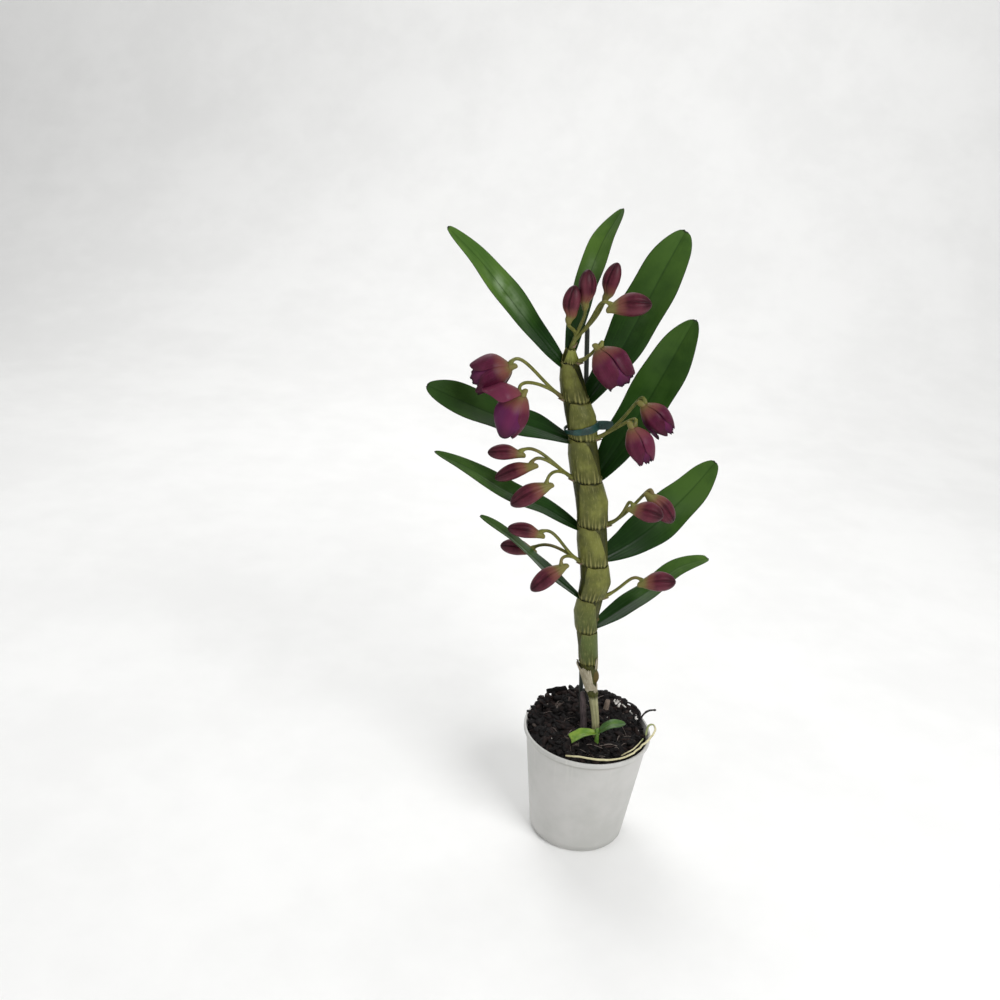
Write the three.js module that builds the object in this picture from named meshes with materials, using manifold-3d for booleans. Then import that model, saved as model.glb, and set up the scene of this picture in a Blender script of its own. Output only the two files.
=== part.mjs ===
// A nobile-type dendrobium orchid in its nursery pot: one staked cane with nine leaves in two ranks and
// eight flower sprays, each spray standing across from the leaf of its own node.
// Millimetres, +Z up. The origin is the centre of the pot's base, on the surface that it stands on.
// Azimuths are degrees from +X towards +Y, and rises are degrees above the horizontal.
import * as THREE from 'three';
import { LoftGeometry } from 'three/addons/geometries/LoftGeometry.js';
import { mergeGeometries, mergeVertices } from 'three/addons/utils/BufferGeometryUtils.js';
import Module from 'manifold-3d';

const wasm = await Module();
wasm.setup();

// ---- Driving dimensions ------------------------------------------------------------------------

const SEAT = 0.3; // clearance left where one piece sits in or on another

const POT = {
  height: 84, rimRadius: 45, neckRadius: 43.2, baseRadius: 33.5, baseCorner: 3, wall: 1.4,
  lipDepth: 4, lipRound: 0.7, drainHoles: 6, drainRadius: 3, drainCircle: 20, sides: 36,
};
const MEDIUM = {
  bottom: 3.2, edgeHeight: 79.5, crownHeight: 85, backMound: 9, chips: 16, chipReach: 34,
  sides: 20, rimChips: 11, rimChipCircle: 40, rimChipFrom: 25, rimChipTo: 190,
};
// One long bark chip leans up against the back of the rim: its size, place, and its rise and azimuth.
const TALL_CHIP = { size: [15, 4, 3], at: [-24, 33, 91], rise: 24, azimuth: -8 };

// The cane, foot to tip: height, centre and radius. Rows with ring are its nodes.
const CANE = [
  { z: 62, x: 9, y: -15, r: 2.4 },
  { z: 81, x: 7, y: -11.5, r: 2.5 },
  { z: 98, x: 4.5, y: -8.5, r: 2.6 },
  { z: 112, x: 1.5, y: -6, r: 3 },
  { z: 124, x: -2, y: -4, r: 4.4 },
  { z: 138, x: -5, y: -2, r: 6.6, ring: true },
  { z: 151, x: -7, y: -1, r: 7.2 },
  { z: 162, x: -9, y: 0, r: 7.6, ring: true },
  { z: 176, x: -10, y: 0, r: 9.1 },
  { z: 187.5, x: -8.5, y: 0, r: 9, ring: true },
  { z: 200, x: -7, y: 0, r: 10.6 },
  { z: 213.5, x: -9.5, y: 0, r: 10, ring: true },
  { z: 229, x: -12, y: 0, r: 10.7 },
  { z: 241, x: -13.5, y: 0, r: 10.2, ring: true },
  { z: 258, x: -16, y: 0, r: 11.2 },
  { z: 272, x: -20.5, y: 0, r: 10.3, ring: true },
  { z: 288, x: -24, y: 0, r: 10.5 },
  { z: 300, x: -26, y: 0, r: 9.4, ring: true },
  { z: 315, x: -29.5, y: 0, r: 10.3 },
  { z: 324.5, x: -33, y: 0, r: 9, ring: true },
  { z: 337, x: -36.5, y: 0, r: 8.2 },
  { z: 348.5, x: -39, y: 0, r: 6, ring: true },
  { z: 357, x: -40, y: 0, r: 3.2 },
];
const CANE_SIDES = 12;
// A ring is a groove between the lip of the sheath below it and the foot of the one above.
const RING = { groove: 0.7, half: 1.1, floorLow: 0.2, floorHigh: 0.5, lip: 0.4, foot: 0.1 };
const CANE_SEAT = 1.6 * SEAT; // wider all round, so that the seat holds on the steep sides of a ring too

// Leaves, lowest first, each at a ring of the cane. azimuth and rise hold values spread evenly along the
// midrib, roll turns the blade about its midrib at the base and at the tip, widest is its widest place.
const LEAVES = [
  { ring: 2, sit: 1, length: 98, width: 18, widest: 0.4,
    azimuth: [32, 26], rise: [26, 29, 36, 12], roll: [10, 15] },
  { ring: 3, sit: -2, length: 91, width: 20, widest: 0.45,
    azimuth: [183, 183], rise: [37, 40, 39, 32], roll: [0, 4] },
  { ring: 4, sit: 2, length: 107, width: 30, widest: 0.45,
    azimuth: [36, 38], rise: [20, 30, 37, 43], roll: [24, 24] },
  { ring: 5, sit: -4, length: 109, width: 19, widest: 0.42,
    azimuth: [183, 183], rise: [28, 20, 28, 22], roll: [-22, -18] },
  { ring: 6, sit: 0, length: 121, width: 31, widest: 0.5,
    azimuth: [36, 42], rise: [54, 55, 58, 57], roll: [24, 24] },
  { ring: 7, sit: -3, length: 99, width: 28, widest: 0.5,
    azimuth: [183, 183], rise: [17, 13, 18, 20], roll: [-14, -40] },
  { ring: 8, sit: -2, length: 124, width: 31, widest: 0.6,
    azimuth: [26, 38, 44], rise: [57, 61, 61, 57], roll: [24, 24] },
  { ring: 9, sit: -3, length: 111, width: 22.5, widest: 0.5,
    azimuth: [183, 183], rise: [46, 48, 47, 41], roll: [-30, -34] },
  { ring: 10, sit: -5, length: 97, width: 17, widest: 0.62,
    azimuth: [76, 40], rise: [66, 68, 65, 56], roll: [0, 0] },
];
const BLADE = {
  thickness: 0.9, along: 10, across: 4, fold: 0.12, baseWidth: 0.3, tipWidth: 0.12, notch: 1.6, sunk: 2.5,
};

// Sprays, lowest first: the ring that a spray breaks from, its azimuth, and its flowers. A flower has
// the place of its neck, measured from the ring's centre, the way that it points, and its size.
const SPRAYS = [
  { ring: 3, azimuth: 0, flowers: [{ at: [32, -8, 20], azimuth: 0, rise: 5, length: 22, width: 13 }] },
  { ring: 4, azimuth: 205, flowers: [
    { at: [-37, -8, 21], azimuth: 185, rise: 4, length: 22, width: 10 },
    { at: [-42, 11, 0], azimuth: 176, rise: -3, length: 22, width: 11 },
    { at: [-21, -16, 3], azimuth: 190, rise: -46, length: 27, width: 12 },
  ] },
  { ring: 5, azimuth: -5, flowers: [
    { at: [24, -16, 22], azimuth: -10, rise: -11, length: 20, width: 13 },
    { at: [35, -6, 28], azimuth: 5, rise: -49, length: 25, width: 13 },
  ] },
  { ring: 6, azimuth: 205, flowers: [
    { at: [-44, -8, 17], azimuth: 185, rise: -6, length: 21, width: 10 },
    { at: [-36, -14, 12], azimuth: 180, rise: -30, length: 26, width: 10 },
    { at: [-25, -20, 2], azimuth: 190, rise: -36, length: 27, width: 12.5 },
  ] },
  { ring: 7, azimuth: -10, flowers: [
    { at: [35, -12, 31], azimuth: 0, rise: -45, length: 26, width: 15.5, open: 0.35 },
    { at: [30, -22, 19], azimuth: -10, rise: -66, length: 26, width: 16.5, open: 0.3 },
  ] },
  { ring: 8, azimuth: 200, flowers: [
    { at: [-42, -18, 24], azimuth: 182, rise: -34, length: 27, width: 18, open: 0.8 },
    { at: [-34, -26, 9], azimuth: 195, rise: -74, length: 29, width: 20, open: 0.7 },
  ] },
  { ring: 9, azimuth: -20, flowers: [
    { at: [17, -16, 16], azimuth: -10, rise: -52, length: 27, width: 22, open: 0.75 },
  ] },
  { ring: 10, azimuth: 10, lift: 78, flowers: [
    { at: [-3, -8, 20], azimuth: 10, rise: 84, length: 21, width: 10.5 },
    { at: [7, -2, 28], azimuth: 190, rise: 87, length: 22, width: 11 },
    { at: [18, 5, 33], azimuth: 0, rise: 76, length: 22, width: 10.5 },
    { at: [22, -12, 32], azimuth: 0, rise: 6, length: 24, width: 14 },
  ] },
];
const STALK = { radius: 1, foot: 1.7, footLength: 7, sunk: 2.2, sides: 5, steps: 7 };
const FLOWER = { sides: 12, spurLength: 5, spurRadius: 2, spurDrop: 3.2, petal: 0.8 };

const STAKE = { radius: 1.5, foot: [0, 13.6, 30], top: [-31, 13.6, 370], sides: 10 };
const TIE = { width: 4, thickness: 1, slack: 0.7, height: 307, tilt: -14, tongue: 10 };
const BRACT = { foot: 108, top: 136, wall: 0.7, flare: 1.2, ragged: 5, sides: 14 };

const KEIKI_STEM = [[7, -20, 74], [6.5, -17.5, 93], [6.3, -17, 98]];
const KEIKI_ROD = [1.6, 8, 3]; // radius, sides, steps
const KEIKI_LEAVES = [
  { length: 21, width: 9, widest: 0.85, azimuth: [190, 192], rise: [-6, -16], roll: [-14, -14] },
  { length: 23, width: 8, widest: 0.4, azimuth: [5, 14], rise: [30, 0], roll: [6, 6] },
];

const STUBS = [
  { name: 'old_stub_dark', foot: [-1, -8, 74], top: [-6, -3, 114], radius: 2.2, colour: 'stubDark' },
  { name: 'old_stub_pale', foot: [11.5, 16, 74], top: [12, 17, 96], radius: 2.5, colour: 'stubPale' },
];
// The pale root lies inside the front of the rim, crosses it, and curls over on the right.
const ROOTS = [
  { name: 'aerial_root', radius: 1.1, sides: 6, steps: 22, colour: 'rootPale', points: [
    [-14, -35, 82], [-6, -37, 84], [9, -38.5, 84.6], [22, -35.5, 85], [32, -28, 86], [40, -16, 86.6],
    [46, -5, 86.4], [48, 2, 87.2], [44, 5, 89],
  ] },
  { name: 'wiry_root', radius: 0.55, sides: 5, steps: 8, colour: 'rootDark', points: [
    [36, 15, 78], [38, 17, 84], [40, 18, 88], [44, 20, 90.5], [49, 22, 90.5],
  ] },
];

const COLOURS = {
  pot: ['#d9d8d6', 0.55], medium: ['#2a211d', 0.95], cane: ['#7b8048', 0.5], bract: ['#c9c0ad', 0.85],
  stubDark: ['#4a3d31', 0.8], stubPale: ['#a08f78', 0.8], leaf: ['#2c5523', 0.35], keiki: ['#5b8a2c', 0.45],
  stalk: ['#8a8a45', 0.5], bud: ['#6b2f42', 0.5], bloom: ['#74304f', 0.5], stake: ['#20251f', 0.5],
  tie: ['#15504a', 0.5], rootPale: ['#cfc8a0', 0.7], rootDark: ['#191513', 0.8],
};

// ---- Geometry helpers --------------------------------------------------------------------------

const part = new THREE.Group();
const radians = THREE.MathUtils.degToRad;
const { lerp, smoothstep } = THREE.MathUtils;

// The unit vector that points along an azimuth and a rise.
function heading(azimuth, rise) {
  const level = Math.cos(radians(rise));
  return new THREE.Vector3(
    level * Math.cos(radians(azimuth)), level * Math.sin(radians(azimuth)), Math.sin(radians(rise)));
}

// The value at place s, 0 to 1, in a row of values that are spread evenly.
function along(values, s) {
  const place = s * (values.length - 1);
  const below = Math.min(Math.floor(place), values.length - 2);
  return lerp(values[below], values[below + 1], place - below);
}

// A small repeatable random source.
function randomSource(seed) {
  let state = seed;
  return () => {
    state = (state * 1664525 + 1013904223) % 4294967296;
    return state / 4294967296;
  };
}

// A closed geometry as a solid: only positions are kept, and shared vertices are merged.
function solid(geometry) {
  const flat = geometry.index ? geometry.toNonIndexed() : geometry.clone();
  const bare = new THREE.BufferGeometry().setAttribute('position', flat.getAttribute('position'));
  const merged = mergeVertices(bare, 1e-4);
  const corners = merged.index.array;
  const triVerts = [];
  for (let i = 0; i < corners.length; i += 3) {
    const [a, b, c] = corners.slice(i, i + 3);
    if (a !== b && b !== c && c !== a) triVerts.push(a, b, c);
  }
  return new wasm.Manifold(new wasm.Mesh({
    numProp: 3, vertProperties: merged.attributes.position.array, triVerts: new Uint32Array(triVerts),
  }));
}

// Solids joined in one, and the largest piece of a solid that a cut may have left in several.
const joined = (solids) => solids.reduce((whole, piece) => whole.add(piece));
const largest = (whole) => whole.decompose().sort((a, b) => b.volume() - a.volume())[0];

// A solid as a named mesh of the part, in its own colour and roughness.
function addMesh(name, whole, [colour, roughness]) {
  const { vertProperties, triVerts, numProp } = largest(whole).getMesh();
  const geometry = new THREE.BufferGeometry();
  const positions = new Float32Array(triVerts.length * 3);
  triVerts.forEach((vertex, i) => {
    positions.set(vertProperties.subarray(vertex * numProp, vertex * numProp + 3), i * 3);
  });
  geometry.setAttribute('position', new THREE.BufferAttribute(positions, 3));
  geometry.computeVertexNormals();
  const material = new THREE.MeshStandardMaterial({ color: colour, roughness, metalness: 0 });
  const mesh = new THREE.Mesh(geometry, material);
  mesh.name = name;
  part.add(mesh);
}

// A ring of points round a centre, in the plane of two unit vectors. radiusAt takes the angle.
function ring(centre, across, up, sides, radiusAt) {
  return Array.from({ length: sides }, (_, i) => {
    const angle = (i / sides) * 2 * Math.PI;
    const r = radiusAt(angle);
    return centre.clone()
      .addScaledVector(across, r * Math.cos(angle)).addScaledVector(up, r * Math.sin(angle));
  });
}

// A closed skin through rings of points, with both ends capped.
const loft = (rings) => solid(new LoftGeometry(rings, { capStart: true, capEnd: true }));

// A round rod of one radius along a curve.
function rod(curve, radius, sides, steps) {
  const section = new THREE.Shape(
    Array.from({ length: sides }, (_, i) => {
      const angle = (i / sides) * 2 * Math.PI;
      return new THREE.Vector2(radius * Math.cos(angle), radius * Math.sin(angle));
    }));
  return solid(new THREE.ExtrudeGeometry(section, { extrudePath: curve, steps, bevelEnabled: false }));
}

const rodThrough = (points, radius, sides, steps) => rod(
  new THREE.CatmullRomCurve3(points.map((point) => new THREE.Vector3(...point))), radius, sides, steps);

// The plain hole that such a rod stands in: wider by the seat, and deeper by it at the rod's foot.
function holeFor([foot, next, ...rest], radius, sides, steps) {
  const [low, high] = [new THREE.Vector3(...foot), new THREE.Vector3(...next)];
  low.addScaledVector(high.clone().sub(low).normalize(), -SEAT);
  return rodThrough([low.toArray(), next, ...rest], radius + SEAT, sides, steps);
}

// A thin blade over a surface(s, t), s along it from 0 to 1 and t across it from -1 to 1. The lower face is
// the upper one moved by the thickness, split into the same triangles, and a band closes the rim.
function blade(surface, stepsAlong, stepsAcross, thickness) {
  const grid = [];
  const tiny = 1e-3;
  for (let i = 0; i <= stepsAlong; i += 1) {
    const row = [];
    for (let j = 0; j <= stepsAcross; j += 1) {
      const s = i / stepsAlong;
      const t = (2 * j) / stepsAcross - 1;
      const alongIt = surface(Math.min(s + tiny, 1), t).sub(surface(Math.max(s - tiny, 0), t));
      const acrossIt = surface(s, Math.min(t + tiny, 1)).sub(surface(s, Math.max(t - tiny, -1)));
      row.push({ point: surface(s, t), normal: acrossIt.cross(alongIt).normalize() });
    }
    grid.push(row);
  }
  const face = (offset) => grid.map((row) => row.map(
    ({ point, normal }) => point.clone().addScaledVector(normal, offset)));
  const rim = (rows) => [
    ...rows[0], ...rows.slice(1, -1).map((row) => row.at(-1)),
    ...rows.at(-1).slice().reverse(), ...rows.slice(1, -1).reverse().map((row) => row[0]),
  ];
  const upper = face(thickness / 2);
  const lower = face(-thickness / 2);
  const lowerFace = new LoftGeometry(lower, { closed: false });
  const turned = lowerFace.index.array;
  for (let i = 0; i < turned.length; i += 3) [turned[i], turned[i + 1]] = [turned[i + 1], turned[i]];
  return solid(mergeGeometries([
    new LoftGeometry(upper, { closed: false }), lowerFace, new LoftGeometry([rim(lower), rim(upper)]),
  ]));
}

// ---- Pot and medium ----------------------------------------------------------------------------

const floorRing = (z) => lerp(POT.baseRadius, POT.neckRadius, z / (POT.height - POT.lipDepth));

// A turned shell: flat base with a rounded corner, flared wall, a lip that stands out at the top.
function pot() {
  const { height, rimRadius, baseCorner, wall, lipDepth, lipRound, sides } = POT;
  const corner = [0, 30, 60, 90].map((angle) => new THREE.Vector2(
    POT.baseRadius - baseCorner + baseCorner * Math.sin(radians(angle)),
    baseCorner - baseCorner * Math.cos(radians(angle))));
  const lipFoot = height - lipDepth;
  const profile = [
    new THREE.Vector2(0, 0), ...corner,
    new THREE.Vector2(floorRing(lipFoot), lipFoot),
    new THREE.Vector2(rimRadius - lipRound, lipFoot + lipRound),
    new THREE.Vector2(rimRadius, height - lipRound),
    new THREE.Vector2(rimRadius - lipRound, height),
    new THREE.Vector2(rimRadius - wall, height),
    new THREE.Vector2(floorRing(lipFoot) - wall, lipFoot - wall),
    new THREE.Vector2(floorRing(baseCorner) - wall, baseCorner),
    new THREE.Vector2(POT.baseRadius - baseCorner - wall, wall),
    new THREE.Vector2(0, wall),
  ];
  let shell = solid(new THREE.LatheGeometry(profile, sides).rotateX(Math.PI / 2));
  for (let i = 0; i < POT.drainHoles; i += 1) {
    const angle = (i / POT.drainHoles) * 2 * Math.PI;
    const drill = new THREE.CylinderGeometry(POT.drainRadius, POT.drainRadius, 4 * wall, 10);
    drill.rotateX(Math.PI / 2);
    drill.translate(POT.drainCircle * Math.cos(angle), POT.drainCircle * Math.sin(angle), 0);
    shell = shell.subtract(solid(drill));
  }
  return shell;
}

// Height of the medium's surface before its chips: a low crown that is heaped towards the back.
function mediumHeight(x, y) {
  const out = Math.hypot(x, y) / (POT.neckRadius - POT.wall);
  const crown = lerp(MEDIUM.crownHeight, MEDIUM.edgeHeight, out * out);
  const back = MEDIUM.backMound * smoothstep(y, -5, 36);
  return crown + back * (1 - 0.2 * out) + 0.9 * Math.sin(x / 3.1 + 1) * Math.cos(y / 3.7);
}

// The room that the medium may fill: the inside of the pot, and all that lies above the pot's rim.
function mediumRoom() {
  const { rimRadius, height } = POT;
  const inside = (z) => floorRing(z) - POT.wall - SEAT - 0.2;
  const profile = [
    [0, MEDIUM.bottom], [inside(MEDIUM.bottom) - 1.5, MEDIUM.bottom],
    [inside(MEDIUM.bottom + 3), MEDIUM.bottom + 3], [inside(height - POT.lipDepth), height - POT.lipDepth],
    [inside(height - POT.lipDepth), height + SEAT], [rimRadius, height + SEAT],
    [rimRadius, 1.4 * height], [0, 1.4 * height],
  ].map(([r, z]) => new THREE.Vector2(r, z));
  return solid(new THREE.LatheGeometry(profile, MEDIUM.sides).rotateX(Math.PI / 2));
}

// A bark chip: a squared splinter, turned and set down by its middle.
function chip(size, turns, at) {
  const splinter = new THREE.BoxGeometry(...size);
  splinter.rotateX(turns[0]).rotateY(turns[1]).rotateZ(turns[2]);
  return solid(splinter.translate(...at));
}

// The bark mix: a heap with a lumpy top, chips half sunk in it and chips along the back of the rim.
function medium() {
  const random = randomSource(11);
  const heap = new THREE.LatheGeometry([
    new THREE.Vector2(0, 0), new THREE.Vector2(POT.neckRadius, 0),
    ...[1, 0.8, 0.6, 0.4, 0.2].map((share) => new THREE.Vector2(share * POT.neckRadius, MEDIUM.edgeHeight)),
    new THREE.Vector2(0, MEDIUM.edgeHeight),
  ], MEDIUM.sides).rotateX(Math.PI / 2);
  const place = heap.attributes.position;
  for (let i = 0; i < place.count; i += 1) {
    if (place.getZ(i) > 1) place.setZ(i, mediumHeight(place.getX(i), place.getY(i)));
  }
  const chipAt = (out, angle, tallest) => {
    const [x, y] = [out * Math.cos(angle), out * Math.sin(angle)];
    const size = [lerp(6, 12, random()), lerp(3, 6, random()), lerp(2, tallest, random())];
    const turns = [(random() - 0.5) * 1.2, (random() - 0.5) * 0.9, random() * Math.PI];
    return chip(size, turns, [x, y, mediumHeight(x, y) + 0.3]);
  };
  const sunk = Array.from({ length: MEDIUM.chips }, () => chipAt(
    MEDIUM.chipReach * Math.sqrt(random()), random() * 2 * Math.PI, 4));
  const atRim = Array.from({ length: MEDIUM.rimChips }, (_, i) => chipAt(
    MEDIUM.rimChipCircle, radians(lerp(MEDIUM.rimChipFrom, MEDIUM.rimChipTo, i / (MEDIUM.rimChips - 1))), 5));
  const tall = chip(TALL_CHIP.size, [0, -radians(TALL_CHIP.rise), radians(TALL_CHIP.azimuth)], TALL_CHIP.at);
  return joined([solid(heap), ...sunk, ...atRim, tall]).intersect(mediumRoom());
}

// ---- Cane, stubs and dead sheath ---------------------------------------------------------------

const ringsOnly = CANE.filter((row) => row.ring);
const caneTip = CANE.at(-1);

// A ring's centre and radius by its number, counted from 1; one past the last is the cane's tip.
const ringPlace = (number) => ringsOnly[number - 1] ?? caneTip;
const centreOf = ({ x, y, z }) => new THREE.Vector3(x, y, z);

// The cane's centre and radius at a height.
function caneAt(z) {
  const above = CANE.findIndex((row) => row.z > z);
  const [low, high] = [CANE[above - 1], CANE[above]];
  const share = (z - low.z) / (high.z - low.z);
  return { x: lerp(low.x, high.x, share), y: lerp(low.y, high.y, share), z, r: lerp(low.r, high.r, share) };
}

// The cane as rings of points, level, each ring of the plant sunk between two sheath edges.
function cane(extra = 0) {
  const stations = CANE.flatMap((row) => {
    if (!row.ring) return [row];
    return [
      { ...row, z: row.z - RING.half, r: row.r + RING.lip },
      { ...row, z: row.z - RING.floorLow, r: row.r - RING.groove },
      { ...row, z: row.z + RING.floorHigh, r: row.r - RING.groove },
      { ...row, z: row.z + RING.half, r: row.r + RING.foot },
    ];
  });
  const east = new THREE.Vector3(1, 0, 0);
  const north = new THREE.Vector3(0, 1, 0);
  const rings = stations.map((row) => ring(centreOf(row), east, north, CANE_SIDES, () => row.r + extra));
  if (extra) {
    rings[0].forEach((point) => { point.z -= extra; });
    rings.at(-1).forEach((point) => { point.z += extra; });
  }
  return loft(rings);
}

// The dead sheath: a thin papery cone round the foot of the cane, with a ragged, open mouth.
function bract() {
  const { foot, top, wall, flare, ragged, sides } = BRACT;
  const east = new THREE.Vector3(1, 0, 0);
  const north = new THREE.Vector3(0, 1, 0);
  const layer = (z, proud) => {
    const { x, y, r } = caneAt(z);
    return ring(new THREE.Vector3(x, y, z), east, north, sides, () => r + proud);
  };
  const tear = (points) => {
    points.forEach((point, i) => { point.z += ragged * Math.abs(Math.sin(i * 2.3)) - ragged; });
    return points;
  };
  const [start, middle] = [SEAT, lerp(foot, top, 0.45)];
  const walls = [
    layer(foot, start), layer(foot, start + wall), layer(middle, start + wall + 0.4),
    tear(layer(top, start + wall + flare)), tear(layer(top, start + flare)), layer(middle, start + 0.4),
    layer(foot, start),
  ];
  return solid(new LoftGeometry(walls));
}

// A cut stub that stands in the medium: a short tapered rod with a rounded top.
function stub(foot, top, radius) {
  const [low, high] = [new THREE.Vector3(...foot), new THREE.Vector3(...top)];
  const direction = high.clone().sub(low).normalize();
  const side = new THREE.Vector3(0, 1, 0).cross(direction).normalize();
  const level = direction.clone().cross(side);
  const rings = [[0, 1.1], [0.5, 1], [0.93, 0.95], [1, 0.55]].map(([share, width]) => ring(
    low.clone().lerp(high, share), side, level, 8,
    (angle) => radius * width * (1 + 0.1 * Math.sin(3 * angle))));
  return loft(rings);
}

// ---- Leaves ------------------------------------------------------------------------------------

// A midrib that leaves a start point in equal legs, each with its own azimuth and rise.
function midribFrom(start, { azimuth, rise, length }) {
  const points = [start];
  rise.forEach((angle, i) => {
    const leg = heading(along(azimuth, i / (rise.length - 1)), angle).multiplyScalar(length / rise.length);
    points.push(points.at(-1).clone().add(leg));
  });
  return new THREE.CatmullRomCurve3(points);
}

// Share of the full width at place s: it opens from the base, and closes late to a blunt tip.
function widthShare(s, widest) {
  if (s < widest) return lerp(BLADE.baseWidth, 1, Math.sin((s / widest) * (Math.PI / 2)));
  const past = (s - widest) / (1 - widest);
  return lerp(BLADE.tipWidth, 1, (1 - past ** 2.4) ** 0.62);
}

// A leaf: a keeled blade along its midrib, turned about it by the roll, with a notched tip.
function leafSurface(leaf, start) {
  const midrib = midribFrom(start, leaf);
  const up = new THREE.Vector3(0, 0, 1);
  return (s, t) => {
    const notch = (BLADE.notch / leaf.length) * (1 - Math.abs(t)) * smoothstep(s, 0.86, 1);
    const place = Math.min(Math.max(s - notch, 0), 1);
    const forward = midrib.getTangent(place);
    const side = forward.clone().cross(up).normalize();
    const normal = side.clone().cross(forward);
    side.applyAxisAngle(forward, radians(along(leaf.roll, s)));
    normal.applyAxisAngle(forward, radians(along(leaf.roll, s)));
    const half = 0.5 * leaf.width * widthShare(s, leaf.widest);
    return midrib.getPoint(place).addScaledVector(side, t * half)
      .addScaledVector(normal, BLADE.fold * half * (Math.abs(t) * 1.6 - 0.6));
  };
}

function leaf(spec) {
  const from = ringPlace(spec.ring);
  const start = centreOf(from).addScaledVector(heading(spec.azimuth[0], 0), from.r - BLADE.sunk);
  start.z += spec.sit;
  return blade(leafSurface(spec, start), BLADE.along, BLADE.across, BLADE.thickness);
}

// The shoot at the foot: a short stem with one cut-off leaf and one pointed leaf.
function keiki() {
  const stem = rodThrough(KEIKI_STEM, ...KEIKI_ROD);
  return joined([stem, ...KEIKI_LEAVES.map((spec) => blade(
    leafSurface(spec, new THREE.Vector3(...KEIKI_STEM[1])), 8, 2, BLADE.thickness))]);
}

// ---- Flowers and their stalks ------------------------------------------------------------------

// A flower's own frame at its neck: axis points out of it, back is its upper side, away from the spur.
function flowerFrame({ at, azimuth, rise }, from) {
  const neck = centreOf(from).add(new THREE.Vector3(...at));
  const axis = heading(azimuth, rise);
  const side = axis.clone().cross(new THREE.Vector3(0, 0, 1)).normalize();
  return { neck, axis, side, back: side.clone().cross(axis) };
}

const placeIn = ({ neck, axis, side, back }, x, y, z) => neck.clone()
  .addScaledVector(back, x).addScaledVector(side, y).addScaledVector(axis, z);

// The closed body of a flower: blunt spur, chin, three sepals that meet in furrows, pointed tip.
// extra makes the same body larger all over, as the room that a stalk is cut to.
function flowerBody(frame, length, width, sides, extra = 0) {
  const half = width / 2;
  const { spurLength, spurRadius, spurDrop } = FLOWER;
  const sections = [
    [-spurDrop, -spurLength - extra, 0.8 * spurRadius, 0],
    [-0.9 * spurDrop, -0.35 * spurLength, spurRadius, 0],
    [-0.45 * spurDrop, 0.1 * length, 0.55 * half, 0.02], [0, 0.3 * length, 0.86 * half, 0.05],
    [0, 0.52 * length, half, 0.07], [0, 0.75 * length, 0.78 * half, 0.08],
    [0, 0.92 * length, 0.38 * half, 0.06], [0, length + extra, 0.6, 0],
  ];
  return loft(sections.map(([drop, z, radius, furrow]) => ring(
    placeIn(frame, drop, 0, z), frame.back, frame.side, sides,
    (angle) => extra + radius * (1 - furrow + furrow * Math.abs(Math.sin(1.5 * angle)) * 1.5))));
}

// One petal of a half-open flower, cupped round the flower's axis; it swells, then draws in to the mouth.
function petal(frame, { turn, halfAngle, tipAngle, radius, length, open, frill }) {
  const swell = (s) => (s < 0.5
    ? Math.sin(Math.PI * s) ** 0.8 : lerp(1, open, ((s - 0.5) * 2) ** 1.6));
  return (s, t) => {
    const spread = lerp(halfAngle, tipAngle, s ** 3);
    const angle = radians(turn + t * spread);
    const out = radius * swell(lerp(0.1, 1, s)) * (1 + 0.07 * t);
    const end = length * (1 - 0.1 * t * t * s) + frill * Math.sin(5 * t + turn) * s ** 4;
    return placeIn(frame, out * Math.cos(angle), out * Math.sin(angle), lerp(0.04 * length, end, s));
  };
}

// A half-open flower: three sepals outside, three frilled petals inside, all grown to one body.
function bloom(frame, { length, width, open }, extra) {
  const layers = [
    { first: 0, halfAngle: 56, tipAngle: 26, radius: width / 2, length: 0.95 * length, frill: 0, open },
    { first: 60, halfAngle: 55, tipAngle: 50, radius: 0.34 * width, length, frill: 0.9, open: open * 1.05 },
  ];
  const petals = layers.flatMap((layer) => [0, 120, 240].map((turn) => blade(
    petal(frame, { ...layer, turn: layer.first + turn }), 4, layer.frill ? 3 : 2, FLOWER.petal + 2 * extra)));
  return joined([flowerBody(frame, 0.62 * length, 0.52 * width, 8, extra), ...petals]);
}

const flower = (frame, spec, extra = 0) => (spec.open
  ? bloom(frame, spec, extra) : flowerBody(frame, spec.length, spec.width, FLOWER.sides, extra));

// A spray's stalk: a stout foot at the ring, and a stem to each flower that arches over its spur.
function stalk(spray, frames) {
  const from = ringPlace(spray.ring);
  const out = heading(spray.azimuth, spray.lift ?? 35);
  const root = centreOf(from).addScaledVector(heading(spray.azimuth, 0), from.r - STALK.sunk);
  const fork = root.clone().addScaledVector(out, STALK.footLength);
  const foot = rod(new THREE.LineCurve3(root, fork), STALK.foot, STALK.sides, 1);
  const stems = frames.map(({ neck, axis, back }, i) => {
    const reach = neck.distanceTo(fork);
    const end = neck.clone().addScaledVector(axis, 0.12 * spray.flowers[i].length);
    return rod(new THREE.CubicBezierCurve3(
      fork.clone().addScaledVector(out, -1.5), fork.clone().addScaledVector(out, 0.4 * reach),
      neck.clone().addScaledVector(axis, -0.3 * reach).addScaledVector(back, 1.5), end,
    ), STALK.radius, STALK.sides, STALK.steps);
  });
  return joined([foot, ...stems]);
}

// ---- Stake, tie and roots ----------------------------------------------------------------------

const stakeLine = new THREE.LineCurve3(new THREE.Vector3(...STAKE.foot), new THREE.Vector3(...STAKE.top));

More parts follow.
